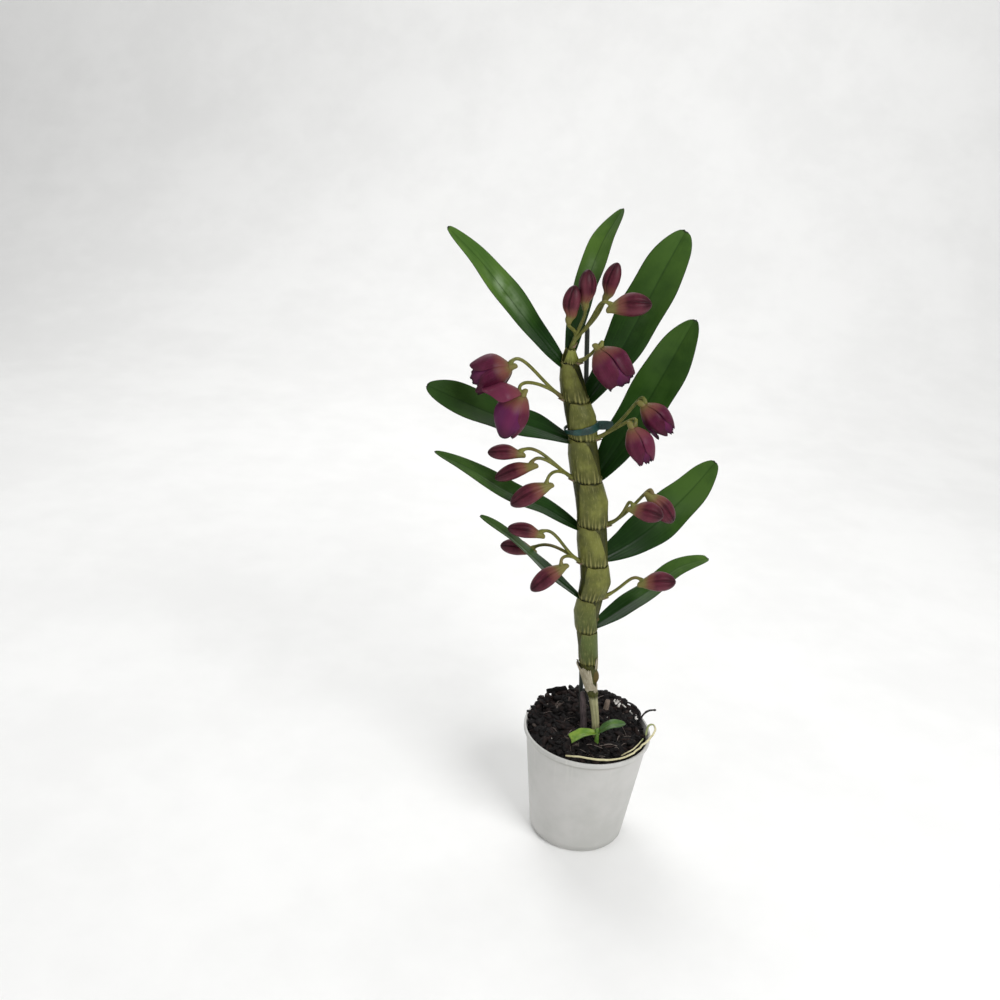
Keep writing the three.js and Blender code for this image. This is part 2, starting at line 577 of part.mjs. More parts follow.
// A band round the cane and the stake together, with its two ends pinched into a tongue.
function tie() {
  const at = caneAt(TIE.height);
  const stakeAt = stakeLine.getPoint((TIE.height - STAKE.foot[2]) / (STAKE.top[2] - STAKE.foot[2]));
  const aroundCane = at.r + TIE.slack + SEAT + TIE.thickness;
  const aroundStake = STAKE.radius + SEAT + TIE.thickness;
  const outline = new THREE.Shape();
  const [dx, dy] = [stakeAt.x - at.x, stakeAt.y - at.y];
  const towards = Math.atan2(dy, dx);
  const open = Math.acos((aroundCane - aroundStake) / Math.hypot(dx, dy));
  outline.absarc(0, 0, aroundCane, towards + open, towards - open + 2 * Math.PI, false);
  outline.absarc(dx, dy, aroundStake, towards - open, towards + open, false);
  const band = new THREE.ExtrudeGeometry(
    outline, { depth: TIE.width, bevelEnabled: false, curveSegments: 9 });
  const tongue = new THREE.BoxGeometry(TIE.tongue, TIE.thickness * 1.6, TIE.width);
  tongue.translate(aroundCane + TIE.tongue / 2 - 3, 4, TIE.width / 2);
  return [band, tongue].map((geometry) => solid(
    geometry.translate(0, 0, -TIE.width / 2).rotateY(radians(TIE.tilt)).translate(at.x, at.y, TIE.height)));
}

// ---- The whole plant ---------------------------------------------------------------------------

const caneRoom = cane(CANE_SEAT);
const stakeRoom = holeFor([STAKE.foot, STAKE.top], STAKE.radius, STAKE.sides, 1);
const planted = [
  caneRoom, stakeRoom, holeFor(KEIKI_STEM, ...KEIKI_ROD),
  ...STUBS.map(({ foot, top, radius }) => stub([foot[0], foot[1], foot[2] - SEAT], top, radius + SEAT)),
  ...ROOTS.map(({ points, radius, sides, steps }) => holeFor(points, radius, sides, steps)),
];

addMesh('pot', pot(), COLOURS.pot);
addMesh('growing_medium', planted.reduce((whole, room) => whole.subtract(room), medium()), COLOURS.medium);
addMesh('cane', cane(), COLOURS.cane);
addMesh('dry_bract', bract().subtract(caneRoom), COLOURS.bract);
STUBS.forEach(({ name, foot, top, radius, colour }) => addMesh(
  name, stub(foot, top, radius), COLOURS[colour]));
addMesh('keiki', keiki(), COLOURS.keiki);
addMesh('stake', rod(stakeLine, STAKE.radius, STAKE.sides, 1), COLOURS.stake);
addMesh('tie', joined(tie()).subtract(caneRoom).subtract(stakeRoom), COLOURS.tie);
ROOTS.forEach(({ name, points, radius, sides, steps, colour }) => addMesh(
  name, rodThrough(points, radius, sides, steps), COLOURS[colour]));

LEAVES.forEach((spec, i) => addMesh(`leaf_${i + 1}`, leaf(spec).subtract(caneRoom), COLOURS.leaf));

SPRAYS.forEach((spray, i) => {
  const frames = spray.flowers.map((spec) => flowerFrame(spec, ringPlace(spray.ring)));
  let stems = stalk(spray, frames).subtract(caneRoom);
  spray.flowers.forEach((spec, j) => {
    stems = stems.subtract(flower(frames[j], spec, SEAT));
    const kind = spec.open ? 'bloom' : 'bud';
    addMesh(`${kind}_${i + 1}${'abcd'[j]}`, flower(frames[j], spec), spec.open ? COLOURS.bloom : COLOURS.bud);
  });
  addMesh(`stalk_${i + 1}`, stems, COLOURS.stalk);
});

export default part;
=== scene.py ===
# %% [markdown]
# # A dendrobium orchid in its nursery pot
# The plant is one upright cane on a stake, with leaves in two ranks and short flower sprays. The solids of
# the part hold the true places and sizes. This lesson dresses them: every piece gets a finer surface,
# worked out from a formula, and a finish mixed from procedural nodes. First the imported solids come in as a
# fixed frame.

# %% Load the frame
from math import cos, radians, sin

import bpy
import numpy as np
from mathutils import Matrix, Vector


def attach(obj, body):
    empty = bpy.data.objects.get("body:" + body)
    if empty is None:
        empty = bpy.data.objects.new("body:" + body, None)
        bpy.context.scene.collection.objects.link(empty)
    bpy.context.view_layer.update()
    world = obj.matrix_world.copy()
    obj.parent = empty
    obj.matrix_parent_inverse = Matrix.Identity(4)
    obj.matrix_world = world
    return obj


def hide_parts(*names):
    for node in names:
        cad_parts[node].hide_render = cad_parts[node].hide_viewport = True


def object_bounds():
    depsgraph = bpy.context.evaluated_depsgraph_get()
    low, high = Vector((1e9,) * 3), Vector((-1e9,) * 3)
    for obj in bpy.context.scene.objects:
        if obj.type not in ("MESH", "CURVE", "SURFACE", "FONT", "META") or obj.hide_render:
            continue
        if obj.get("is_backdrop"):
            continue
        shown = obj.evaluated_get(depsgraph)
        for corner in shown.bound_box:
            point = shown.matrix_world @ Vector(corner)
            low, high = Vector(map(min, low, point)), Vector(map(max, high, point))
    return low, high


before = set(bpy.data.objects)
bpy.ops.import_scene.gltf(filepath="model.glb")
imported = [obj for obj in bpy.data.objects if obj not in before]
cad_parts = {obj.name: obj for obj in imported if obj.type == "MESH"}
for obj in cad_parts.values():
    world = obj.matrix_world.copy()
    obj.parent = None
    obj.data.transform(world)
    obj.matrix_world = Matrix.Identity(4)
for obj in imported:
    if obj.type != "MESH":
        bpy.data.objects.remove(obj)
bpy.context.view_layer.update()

# %% [markdown]
# ## Camera, floor and light
# A plant of this size is looked down on a little, from about seventy centimetres away. The camera could be
# aimed with a constraint, but here its three axes are built from pitch, yaw and roll, because the same
# numbers then describe it exactly. Blender's camera looks along its own minus Z.

# %% The camera
eye = np.array([-0.0355, -0.6663, 0.5298])
pitch, yaw, roll = radians(22.67), radians(-3.43), radians(4.79)
ahead = np.array([sin(yaw) * cos(pitch), cos(yaw) * cos(pitch), -sin(pitch)])
level = np.array([cos(yaw), -sin(yaw), 0.0])
upward = np.cross(level, ahead)
right = cos(roll) * level + sin(roll) * upward
above = -sin(roll) * level + cos(roll) * upward

camera = bpy.data.objects.new("camera", bpy.data.cameras.new("camera"))
camera.data.sensor_width = 36.0
camera.data.lens = 39.6
axes = np.column_stack([right, above, -ahead])
camera.matrix_world = Matrix.Translation(eye) @ Matrix(axes.tolist()).to_4x4()
bpy.context.scene.collection.objects.link(camera)
bpy.context.scene.camera = camera
print("camera at", eye, "looking along", ahead.round(3))

# %% [markdown]
# Soft light comes from large area lamps, as in a light tent: a broad one overhead and to the right, a
# weaker one from the left, and one behind that puts a sheen on the leaves. A fourth lights only the
# backdrop, so it is kept out of reflections. The floor is one pale sheet that curves up behind the plant,
# so that no horizon shows, with a little grain for the pot's shadow to fall on.

# %% Lamps and world
def lamp(name, place, aim, size, watts):
    """A square area lamp at place, turned so that its face looks at aim."""
    light = bpy.data.lights.new(name, "AREA")
    light.size = size
    light.energy = watts
    holder = bpy.data.objects.new(name, light)
    way = np.array(aim, float) - np.array(place, float)
    way /= np.linalg.norm(way)
    side = np.cross(way, [0.0, 0.0, 1.0])
    side /= np.linalg.norm(side)
    turned = np.column_stack([side, np.cross(side, way), -way])
    holder.matrix_world = Matrix.Translation(place) @ Matrix(turned.tolist()).to_4x4()
    bpy.context.scene.collection.objects.link(holder)
    return holder


middle = (0.0, 0.0, 0.22)
lamp("key", (0.75, -0.85, 1.05), middle, 0.8, 15.0)
lamp("fill", (-1.1, -0.7, 0.55), middle, 1.1, 4.0)
lamp("sheen", (-0.45, 0.8, 1.2), middle, 0.7, 5.0)
behind = lamp("backdrop", (0.0, 0.75, 1.7), (0.0, 1.8, 0.7), 1.2, 9.0)
behind.visible_glossy = False

world = bpy.data.worlds.new("tent")
bpy.context.scene.world = world
world.use_nodes = True
sky = world.node_tree.nodes["Background"]
sky.inputs["Color"].default_value = (1.0, 1.0, 1.0, 1.0)
sky.inputs["Strength"].default_value = 0.38
bpy.context.scene.view_settings.view_transform = "Standard"

# %% [markdown]
# ## A small kit for surfaces
# Every piece below is a sheet: a grid of points worked out as whole arrays. A tube is a sheet whose last
# column lies on its first, and a thin blade is two sheets that meet at their rims. One function welds the
# sheets of a piece, drops the faces that shrank to nothing, and hands the rest to Blender with a UV map.

# %% From sheets to a mesh
MM = 0.001


def sheet(points, across=None, along=None, **marks):
    """One grid of points, rows x columns x 3, in millimetres. Its UV runs from 0 to 1 over the columns
    (across) and the rows (along) unless they are given, and each mark is a number, or a grid of numbers, to
    keep."""
    rows, columns = points.shape[:2]
    u, v = np.meshgrid(np.linspace(0, 1, columns), np.linspace(0, 1, rows))
    u = u if across is None else np.broadcast_to(across, (rows, columns))
    v = v if along is None else np.broadcast_to(along, (rows, columns))
    i, j = np.meshgrid(np.arange(rows - 1), np.arange(columns - 1), indexing="ij")
    corner = (i * columns + j).ravel()
    faces = np.stack([corner, corner + 1, corner + columns + 1, corner + columns], -1)
    kept = {key: np.broadcast_to(value, (rows, columns)).ravel() for key, value in marks.items()}
    return {"points": points.reshape(-1, 3), "faces": faces, "uv": np.stack([u.ravel(), v.ravel()], -1),
            "marks": kept}


def flipped(one):
    """The same sheet with its faces turned over."""
    return {**one, "faces": one["faces"][:, ::-1]}


def make_piece(name, sheets, material, nodes):
    """Joins sheets in one mesh. Points that agree to a ten-thousandth of a millimetre become one, and a
    face keeps each of its corners once. The finished piece takes the place of the solids named in nodes."""
    starts = np.cumsum([0] + [len(s["points"]) for s in sheets])
    points = np.concatenate([s["points"] for s in sheets])
    faces = np.concatenate([s["faces"] + start for s, start in zip(sheets, starts)])
    uv = np.concatenate([s["uv"] for s in sheets])
    _, first, welded = np.unique(np.round(points, 4), axis=0, return_index=True, return_inverse=True)
    corners = welded.ravel()[faces]
    fresh = corners != np.roll(corners, -1, axis=1)
    count = fresh.sum(1)
    keep4, keep3 = count == 4, count == 3
    loops = [corners[keep4], corners[keep3][fresh[keep3]].reshape(-1, 3)]
    origin = [faces[keep4], faces[keep3][fresh[keep3]].reshape(-1, 3)]
    mesh = bpy.data.meshes.new(name)
    mesh.from_pydata((points[first] * MM).tolist(), [], loops[0].tolist() + loops[1].tolist())
    source = np.concatenate([origin[0].ravel(), origin[1].ravel()])
    layer = mesh.uv_layers.new(name="UVMap")
    layer.data.foreach_set("uv", uv[source].astype(np.float32).ravel())
    for key in sorted({key for s in sheets for key in s["marks"]}):
        values = np.concatenate([s["marks"].get(key, np.zeros(len(s["points"]))) for s in sheets])
        attribute = mesh.attributes.new(key, "FLOAT", "CORNER")
        attribute.data.foreach_set("value", values[source].astype(np.float32))
    mesh.shade_smooth()
    mesh.materials.append(material)
    piece = bpy.data.objects.new(name, mesh)
    bpy.context.scene.collection.objects.link(piece)
    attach(piece, "root")
    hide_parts(*nodes)
    print(f"{name}: {len(first)} points, {len(mesh.polygons)} faces")
    return piece


# %% [markdown]
# Stems, roots and midribs all follow smooth paths through a few named points. A Catmull-Rom curve passes
# through its points, which a NURBS path doesn't, so the pieces land where the solids are.

# %% Paths, directions and lumps
def unit(v):
    """v made one long, along its last axis."""
    return v / np.maximum(np.linalg.norm(v, axis=-1, keepdims=True), 1e-9)


def heading(azimuth, rise):
    """The unit vector at an azimuth from +X towards +Y and a rise above the level, both in degrees."""
    a, r = np.radians(azimuth), np.radians(rise)
    return np.stack([np.cos(r) * np.cos(a), np.cos(r) * np.sin(a), np.sin(r) * np.ones_like(a)], -1)


def curve_at(points, share):
    """The place at share, 0 to 1, of a centripetal Catmull-Rom curve: in each span a cubic whose end slopes
    come from the neighbours, weighted by the square roots of the distances between them. Rows may hold any
    numbers."""
    p = np.asarray(points, float)
    p = np.vstack([2 * p[0] - p[1], p, 2 * p[-1] - p[-2]])
    gap = np.maximum(np.linalg.norm(np.diff(p, axis=0), axis=1) ** 0.5, 1e-4)
    place = np.clip(np.asarray(share, float), 0, 1) * (len(p) - 3)
    i = np.minimum(place.astype(int), len(p) - 4)
    w = (place - i)[..., None]
    x0, x1, x2, x3 = p[i], p[i + 1], p[i + 2], p[i + 3]
    d0, d1, d2 = gap[i][..., None], gap[i + 1][..., None], gap[i + 2][..., None]
    a = ((x1 - x0) / d0 - (x2 - x0) / (d0 + d1) + (x2 - x1) / d1) * d1
    b = ((x2 - x1) / d1 - (x3 - x1) / (d1 + d2) + (x3 - x2) / d2) * d1
    return ((2 * w**3 - 3 * w**2 + 1) * x1 + (w**3 - 2 * w**2 + w) * a
            + (3 * w**2 - 2 * w**3) * x2 + (w**3 - w**2) * b)


def bezier_at(points, share):
    """A cubic Bezier curve: the four points mixed by (1-t)^3, 3t(1-t)^2, 3t^2(1-t) and t^3."""
    a, b, c, d = (np.asarray(p, float) for p in points)
    t = np.asarray(share, float)[..., None]
    return a * (1 - t) ** 3 + b * 3 * t * (1 - t) ** 2 + c * 3 * t**2 * (1 - t) + d * t**3


def lumps(points, size, seed, waves=14):
    """A smooth uneven field between about -1 and 1: a sum of sine waves in seeded random directions, each
    about as long as size millimetres."""
    rng = np.random.default_rng(seed)
    ways = unit(rng.normal(size=(waves, 3))) * (2 * np.pi / size) * rng.uniform(0.6, 1.5, (waves, 1))
    phase = rng.uniform(0, 2 * np.pi, waves)
    return np.sin(points @ ways.T + phase).sum(-1) / waves**0.5 / 1.6


def tube(line, radius, sides, **marks):
    """A round skin along a line of points. Each ring stands square to the line; its two directions are
    carried along without twisting, and the radius may change with the row (one number a row) or the ring
    (rows x sides). A pole a little past the first and the last ring closes and rounds the ends."""
    line = np.asarray(line, float)
    way = unit(np.gradient(line, axis=0))
    start = np.array([0.0, 0.0, 1.0]) if abs(way[0, 2]) < 0.8 else np.array([1.0, 0.0, 0.0])
    across = [unit(start - way[0] * (start @ way[0]))]
    for k in range(1, len(line)):
        carried = across[-1] - way[k] * (across[-1] @ way[k])
        across.append(unit(carried))
    across = np.array(across)
    up = np.cross(way, across)
    angle = np.linspace(0, 2 * np.pi, sides + 1)
    radius = np.broadcast_to(np.asarray(radius, float), (len(line),)) if np.ndim(radius) < 2 else radius
    spread = radius[:, None] if radius.ndim == 1 else np.hstack([radius, radius[:, :1]])
    rings = (line[:, None] + across[:, None] * (np.cos(angle)[:, None] * spread[..., None])
             + up[:, None] * (np.sin(angle)[:, None] * spread[..., None]))
    rings[:, -1] = rings[:, 0]
    low = line[0] - way[0] * 0.35 * spread[0].mean()
    high = line[-1] + way[-1] * 0.35 * spread[-1].mean()
    poles = [np.broadcast_to(end, (1, sides + 1, 3)) for end in (low, high)]
    return sheet(np.concatenate([poles[0], rings, poles[1]]), **marks)


def smoothstep(x, low, high):
    """0 below low, 1 above high, and an S between."""
    t = np.clip((x - low) / (high - low), 0, 1)
    return t * t * (3 - 2 * t)


print("kit ready:", curve_at([[0, 0, 0], [1, 0, 0], [1, 1, 0]], 0.5))

# %% [markdown]
# ## A small kit for finishes
# Materials are node trees. Short helpers keep them readable: one adds a node and fills or links its inputs,
# a few more are named for the sums and mixes that come back, and one starts a material with its shader.
# Colours are written as a painter would mix them, in screen values, and turned into the linear light that
# the shader works in. Most finishes below grow the same way: a blotched ground colour, then one tint after
# another over it.

# %% Node helpers
def paint(code):
    """A screen colour such as 2c5523 as linear light: straight below 0.04045, and a power of 2.4 above."""
    value = np.array([int(code[i:i + 2], 16) for i in (0, 2, 4)]) / 255
    linear = np.where(value < 0.04045, value / 12.92, ((value + 0.055) / 1.055) ** 2.4)
    return (*linear.tolist(), 1.0)


def filled(tree, made, inputs):
    """Fills the inputs of a node: a socket is linked, a colour code is painted, any other value is set."""
    for key, value in inputs.items():
        if isinstance(value, bpy.types.NodeSocket):
            tree.links.new(value, made.inputs[key])
        else:
            made.inputs[key].default_value = paint(value) if isinstance(value, str) else value
    return made


def node(tree, kind, inputs=None, **settings):
    """A new node with its settings and inputs."""
    made = tree.nodes.new("ShaderNode" + kind)
    for key, value in settings.items():
        setattr(made, key, value)
    return filled(tree, made, inputs or {})


def mix(tree, factor, a, b):
    """Colour a turning to colour b as factor goes from 0 to 1."""
    return node(tree, "Mix", {0: factor, 6: a, 7: b}, data_type="RGBA").outputs[2]


def maths(tree, operation, a, b=0.0, clamp=False):
    """One sum on two numbers."""
    return node(tree, "Math", {0: a, 1: b}, operation=operation, use_clamp=clamp).outputs[0]


def times(tree, a, b):
    """a times b."""
    return maths(tree, "MULTIPLY", a, b)


def plus(tree, a, b):
    """a plus b."""
    return maths(tree, "ADD", a, b)


def tint(tree, colour, other, mask, amount):
    """A colour that turns to the other where the mask is, by no more than the amount."""
    return mix(tree, times(tree, mask, amount), colour, other)


def ramp(tree, value, low, high):
    """value stretched so that low becomes 0 and high becomes 1, held between them, with soft ends."""
    made = node(tree, "MapRange", {"Value": value, "From Min": low, "From Max": high},
                interpolation_type="SMOOTHSTEP")
    return made.outputs["Result"]


def mark(tree, name):
    """The number that a piece's mesh keeps under that name."""
    return node(tree, "Attribute", attribute_name=name, attribute_type="GEOMETRY").outputs["Fac"]


def noise(tree, vector, scale, detail=3.0, roughness=0.55):
    """Cloudy noise, 0 to 1."""
    inputs = {"Vector": vector, "Scale": scale, "Detail": detail, "Roughness": roughness}
    return node(tree, "TexNoise", inputs).outputs["Fac"]


def start_material(name, roughness=0.5):
    """A new material: its tree, its shader, and its object and UV coordinates."""
    made = bpy.data.materials.new(name)
    made.use_nodes = True
    tree = made.node_tree
    shader = tree.nodes["Principled BSDF"]
    shader.inputs["Roughness"].default_value = roughness
    place = node(tree, "TexCoord")
    return made, tree, shader, place.outputs["Object"], place.outputs["UV"]


def bump(tree, shader, height, strength, distance):
    """Fine relief under the geometry: height feeds a Bump node, and that the shader's Normal."""
    made = node(tree, "Bump", {"Height": height, "Strength": strength, "Distance": distance})
    tree.links.new(made.outputs["Normal"], shader.inputs["Normal"])


# %% [markdown]
# Three effects come back in many of the finishes, so each is a node group, built once: blotches that make a
# colour uneven, long fibres that run along a stem, leaf or petal, and fine grain for the relief.

# %% Shared effects
def start_group(name, inputs, outputs):
    """An empty node group with named sockets, and its input and output nodes."""
    tree = bpy.data.node_groups.new(name, "ShaderNodeTree")
    for way, sockets in (("INPUT", inputs), ("OUTPUT", outputs)):
        for label, kind in sockets:
            tree.interface.new_socket(label, in_out=way, socket_type="NodeSocket" + kind)
    return tree, tree.nodes.new("NodeGroupInput"), tree.nodes.new("NodeGroupOutput")


def blotch_group():
    """Cloudy colour: large noise and small noise together mix a first colour into a second."""
    tree, given, out = start_group(
        "blotches", [("Vector", "Vector"), ("Scale", "Float"), ("First", "Color"), ("Second", "Color")],
        [("Color", "Color")])
    big = noise(tree, given.outputs["Vector"], given.outputs["Scale"], 2.0)
    fine = noise(tree, given.outputs["Vector"], times(tree, given.outputs["Scale"], 5.0), 3.0)
    both = plus(tree, times(tree, big, 0.7), times(tree, fine, 0.3))
    mask = ramp(tree, both, 0.35, 0.65)
    tree.links.new(mix(tree, mask, given.outputs["First"], given.outputs["Second"]), out.inputs["Color"])
    return tree


def fibre_group():
    """Fibres along a surface: noise on the UV map, with Count cells across and Length cells along."""
    tree, given, out = start_group(
        "fibres", [("UV", "Vector"), ("Count", "Float"), ("Length", "Float")],
        [("Fac", "Float"), ("Dark", "Float"), ("Light", "Float")])
    parts = node(tree, "SeparateXYZ", {0: given.outputs["UV"]})
    place = node(tree, "CombineXYZ", {
        0: times(tree, parts.outputs["X"], given.outputs["Count"]),
        1: times(tree, parts.outputs["Y"], given.outputs["Length"]), 2: 0.0})
    field = noise(tree, place.outputs[0], 1.0, 3.0, 0.6)
    tree.links.new(field, out.inputs["Fac"])
    tree.links.new(ramp(tree, field, 0.5, 0.28), out.inputs["Dark"])
    tree.links.new(ramp(tree, field, 0.52, 0.74), out.inputs["Light"])
    return tree


def grain_group():
    """Fine relief: two sizes of noise added up, for skins that aren't quite smooth."""
    tree, given, out = start_group(
        "grain", [("Vector", "Vector"), ("Scale", "Float")], [("Height", "Float")])
    coarse = noise(tree, given.outputs["Vector"], given.outputs["Scale"], 2.0)
    fine = noise(tree, given.outputs["Vector"], times(tree, given.outputs["Scale"], 3.1), 2.0)
    tree.links.new(plus(tree, coarse, times(tree, fine, 0.5)), out.inputs["Height"])
    return tree


GROUPS = {"blotches": blotch_group(), "fibres": fibre_group(), "grain": grain_group()}


def effect(tree, name, **inputs):
    """One of the shared groups, placed in a material with its own values."""
    made = tree.nodes.new("ShaderNodeGroup")
    made.node_tree = GROUPS[name]
    return filled(tree, made, inputs).outputs


def blotched(tree, place, scale, first, second):
    """A colour that drifts between the first and the second."""
    return effect(tree, "blotches", Vector=place, Scale=scale, First=first, Second=second)["Color"]


def fibres(tree, uv, count, length):
    """Fac is the fibres' own noise; Dark and Light are masks of its low and its high threads."""
    return effect(tree, "fibres", UV=uv, Count=count, Length=length)


def grain(tree, place, scale):
    """Heights for a bump."""
    return effect(tree, "grain", Vector=place, Scale=scale)["Height"]


print("shared effects:", list(GROUPS))

# %% The floor
floor_finish, tree, shader, place, uv = start_material("floor_paper", 0.9)
tone = blotched(tree, place, 6.0, "f4f4f3", "efefee")
tree.links.new(tone, shader.inputs["Base Color"])
bump(tree, shader, grain(tree, place, 400.0), 0.05, 0.0005)

FLOOR_HALF, FLOOR_FRONT, SWEEP_FOOT, SWEEP_RADIUS, SWEEP_TOP = 3.0, -2.5, 0.9, 0.9, 2.4
turn = np.linspace(0, np.pi / 2, 25)
bend = np.stack([SWEEP_FOOT + SWEEP_RADIUS * np.sin(turn), SWEEP_RADIUS * (1 - np.cos(turn))], -1)
sweep = np.concatenate([[[FLOOR_FRONT, 0.0]], bend, [[SWEEP_FOOT + SWEEP_RADIUS, SWEEP_TOP]]])
rows = len(sweep)
floor_points = np.array([[x, y, z] for x in (-FLOOR_HALF, FLOOR_HALF) for y, z in sweep])
floor_faces = [(k, rows + k, rows + k + 1, k + 1) for k in range(rows - 1)]
floor_mesh = bpy.data.meshes.new("floor")
floor_mesh.from_pydata(floor_points.tolist(), [], floor_faces)
floor_mesh.shade_smooth()
floor_mesh.materials.append(floor_finish)
floor = bpy.data.objects.new("floor", floor_mesh)
bpy.context.scene.collection.objects.link(floor)
floor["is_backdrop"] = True
print("floor:", 2 * FLOOR_HALF, "m wide, with a sweep", SWEEP_TOP, "m high")

# %% [markdown]
# ## The pot
# A thin injection-moulded nursery pot in pale grey: flat base with a rounded corner, a flared wall, and a
# lip that stands out under a rolled edge. It could be spun with a Screw modifier. Here the profile is
# turned about the axis in one array, which lets the wall go very slightly out of round, as thin plastic
# does. Six drain holes go through the base; they are cut with a boolean once the shell is one closed mesh.

# %% The turned shell
POT = {"height": 84.0, "rim": 45.0, "neck": 43.2, "base": 33.5, "corner": 3.0, "wall": 1.4, "lip": 4.0}
DRAIN = {"count": 6, "circle": 20.0, "radius": 3.0, "below": -3.0, "above": 5.0}


def wall_radius(z):
    """Outer radius of the wall: a straight line from the base to the foot of the lip."""
    return POT["base"] + (POT["neck"] - POT["base"]) * z / (POT["height"] - POT["lip"])


def arc(centre, radius, first, last, steps):
    """Points on an arc in the profile plane, from one angle to another in degrees."""
    a = np.radians(np.linspace(first, last, steps))
    return np.stack([centre[0] + radius * np.cos(a), centre[1] + radius * np.sin(a)], -1)


def pot_profile():
    """Radius and height down the outside, round the lip and back up the inside, pole to pole."""
    h, rim, base, c, wall, lip = (POT[k] for k in ("height", "rim", "base", "corner", "wall", "lip"))
    foot = h - lip
    up, down = np.linspace(c, foot - 0.4, 24), np.linspace(foot - 2.2, c, 24)
    outer = np.stack([wall_radius(up), up], -1)
    inner = np.stack([wall_radius(down) - wall, down], -1)
    return np.concatenate([
        [[0, 0.35], [12, 0.3], [20, 0.1], [base - c - 1.6, 0]],
        arc((base - c, c), c, -90, -5, 9), outer,
        [[wall_radius(foot) + 0.25, foot], [rim - 0.7, foot + 0.5]],
        arc((rim - 0.7, foot + 1.2), 0.7, -60, 0, 4),
        arc((rim - 0.8, h - 0.8), 0.8, 0, 90, 7), arc((rim - 1.1, h - 0.5), 0.5, 90, 180, 5),
        [[rim - 1.75, h - 1.6], [wall_radius(foot) - wall + 0.1, foot - 1.2]], inner,
        arc((base - c - wall + 0.4, c + 0.4), c - 0.6, -5, -90, 7),
        [[20, wall + 0.1], [0, wall + 0.1]]])


profile = pot_profile()
turns = np.linspace(0, 2 * np.pi, 161)
bulge = 1 + 0.0022 * np.cos(2 * turns + 0.7) + 0.0012 * np.cos(3 * turns)
pot_grid = np.stack([profile[:, :1] * (np.cos(turns) * bulge), profile[:, :1] * (np.sin(turns) * bulge),
                     np.broadcast_to(profile[:, 1:], (len(profile), len(turns)))], -1)
pot_grid[:, -1] = pot_grid[:, 0]
print("pot profile:", len(profile), "points, widest", profile[:, 0].max(), "mm")

# %% [markdown]
# The plastic is matte with a faint satin, and nothing on it is quite even: the grey drifts a little, water
# has left pale lime in streaks below the lip, and a line of soil dust and painted shade sits in the angle
# under the rolled edge.

# %% The plastic
pot_finish, tree, shader, place, uv = start_material("pot_plastic", 0.42)
spot = node(tree, "SeparateXYZ", {0: place})
body = blotched(tree, place, 22.0, "bdbcb9", "b2b2ae")
lime = fibres(tree, uv, 90.0, 3.0)
high = times(tree, ramp(tree, spot.outputs["Z"], 0.045, 0.078), 0.35)
limed = mix(tree, times(tree, lime["Light"], high), body, "cfcdc7")
# Soil dust and painted shade: a greyish-brown line in the angle under the rolled edge.
dust_and_shade_line = times(tree, ramp(tree, spot.outputs["Z"], 0.0775, 0.0792),
                   ramp(tree, spot.outputs["Z"], 0.0808, 0.0799))
dust_and_shade = tint(tree, limed, "827d73", dust_and_shade_line, 0.35)
scuff = noise(tree, place, 260.0, 5.0, 0.7)
worn = tint(tree, dust_and_shade, "98958e", ramp(tree, scuff, 0.62, 0.78), 0.25)
tree.links.new(worn, shader.inputs["Base Color"])
tree.links.new(plus(tree, times(tree, scuff, 0.2), 0.34), shader.inputs["Roughness"])
bump(tree, shader, grain(tree, place, 1500.0), 0.08, 0.0002)

pot = make_piece("pot_shell", [sheet(pot_grid)], pot_finish, ["pot"])


# %% The drain holes
def drill_pot(shell):
    """Cuts the round holes with a boolean and applies it, so that the shell stays one closed mesh. Each
    drill is a pole, two rings and a pole."""
    turn = np.linspace(0, 2 * np.pi, 25)
    low, high = DRAIN["below"], DRAIN["above"]
    drills = []
    for spoke in 2 * np.pi * np.arange(DRAIN["count"]) / DRAIN["count"]:
        x, y = DRAIN["circle"] * np.cos(spoke), DRAIN["circle"] * np.sin(spoke)
        rings = np.array([[[x, y, z]] * len(turn) for z in (low, low, high, high)])
        rings[1:3, :, 0] += DRAIN["radius"] * np.cos(turn)
        rings[1:3, :, 1] += DRAIN["radius"] * np.sin(turn)
        rings[:, -1] = rings[:, 0]
        drills.append(sheet(rings))
    points = np.concatenate([d["points"] for d in drills])
    faces = np.concatenate([d["faces"] + k * len(drills[0]["points"]) for k, d in enumerate(drills)])
    mesh = bpy.data.meshes.new("drills")
    mesh.from_pydata((points * MM).tolist(), [], faces.tolist())
    cutter = bpy.data.objects.new("drills", mesh)
    bpy.context.scene.collection.objects.link(cutter)
    weld = cutter.modifiers.new("weld", "WELD")
    weld.merge_threshold = 1e-6
    cut = shell.modifiers.new("drain holes", "BOOLEAN")
    cut.object = cutter
    cut.solver = "EXACT"
    bpy.context.view_layer.update()
    applied = bpy.data.meshes.new_from_object(shell.evaluated_get(bpy.context.evaluated_depsgraph_get()))
    shell.modifiers.clear()
    shell.data = applied
    bpy.data.objects.remove(cutter)
    print("pot after drilling:", len(applied.polygons), "faces")


drill_pot(pot)

# %% [markdown]
# ## The growing medium
# Orchids of this kind stand in bark. The heap is one lumpy surface, and on it lie many chips: flat
# splinters, each a small box whose corners are knocked about. A particle system could scatter them, but
# then they would be instances. Here all the bits of one kind are made at once, as one array of boxes, each
# stretched, turned and set down.

# %% The heap
MEDIUM = {"bottom": 3.2, "brim": 77.0, "edge": 79.5, "crown": 85.0, "mound": 9.0, "top_gap": 0.9,
          "side_gap": 0.8}


def heap_height(x, y):
    """Height of the heap: a low crown that falls with the square of the distance from the middle, raised at
    the back by an S-shaped step, with small waves on top."""
    out = np.hypot(x, y) / (POT["neck"] - POT["wall"])
    crown = MEDIUM["crown"] + (MEDIUM["edge"] - MEDIUM["crown"]) * out**2
    back = MEDIUM["mound"] * smoothstep(y, -5, 36)
    return crown + back * (1 - 0.2 * out) + 0.9 * np.sin(x / 3.1 + 1) * np.cos(y / 3.7)


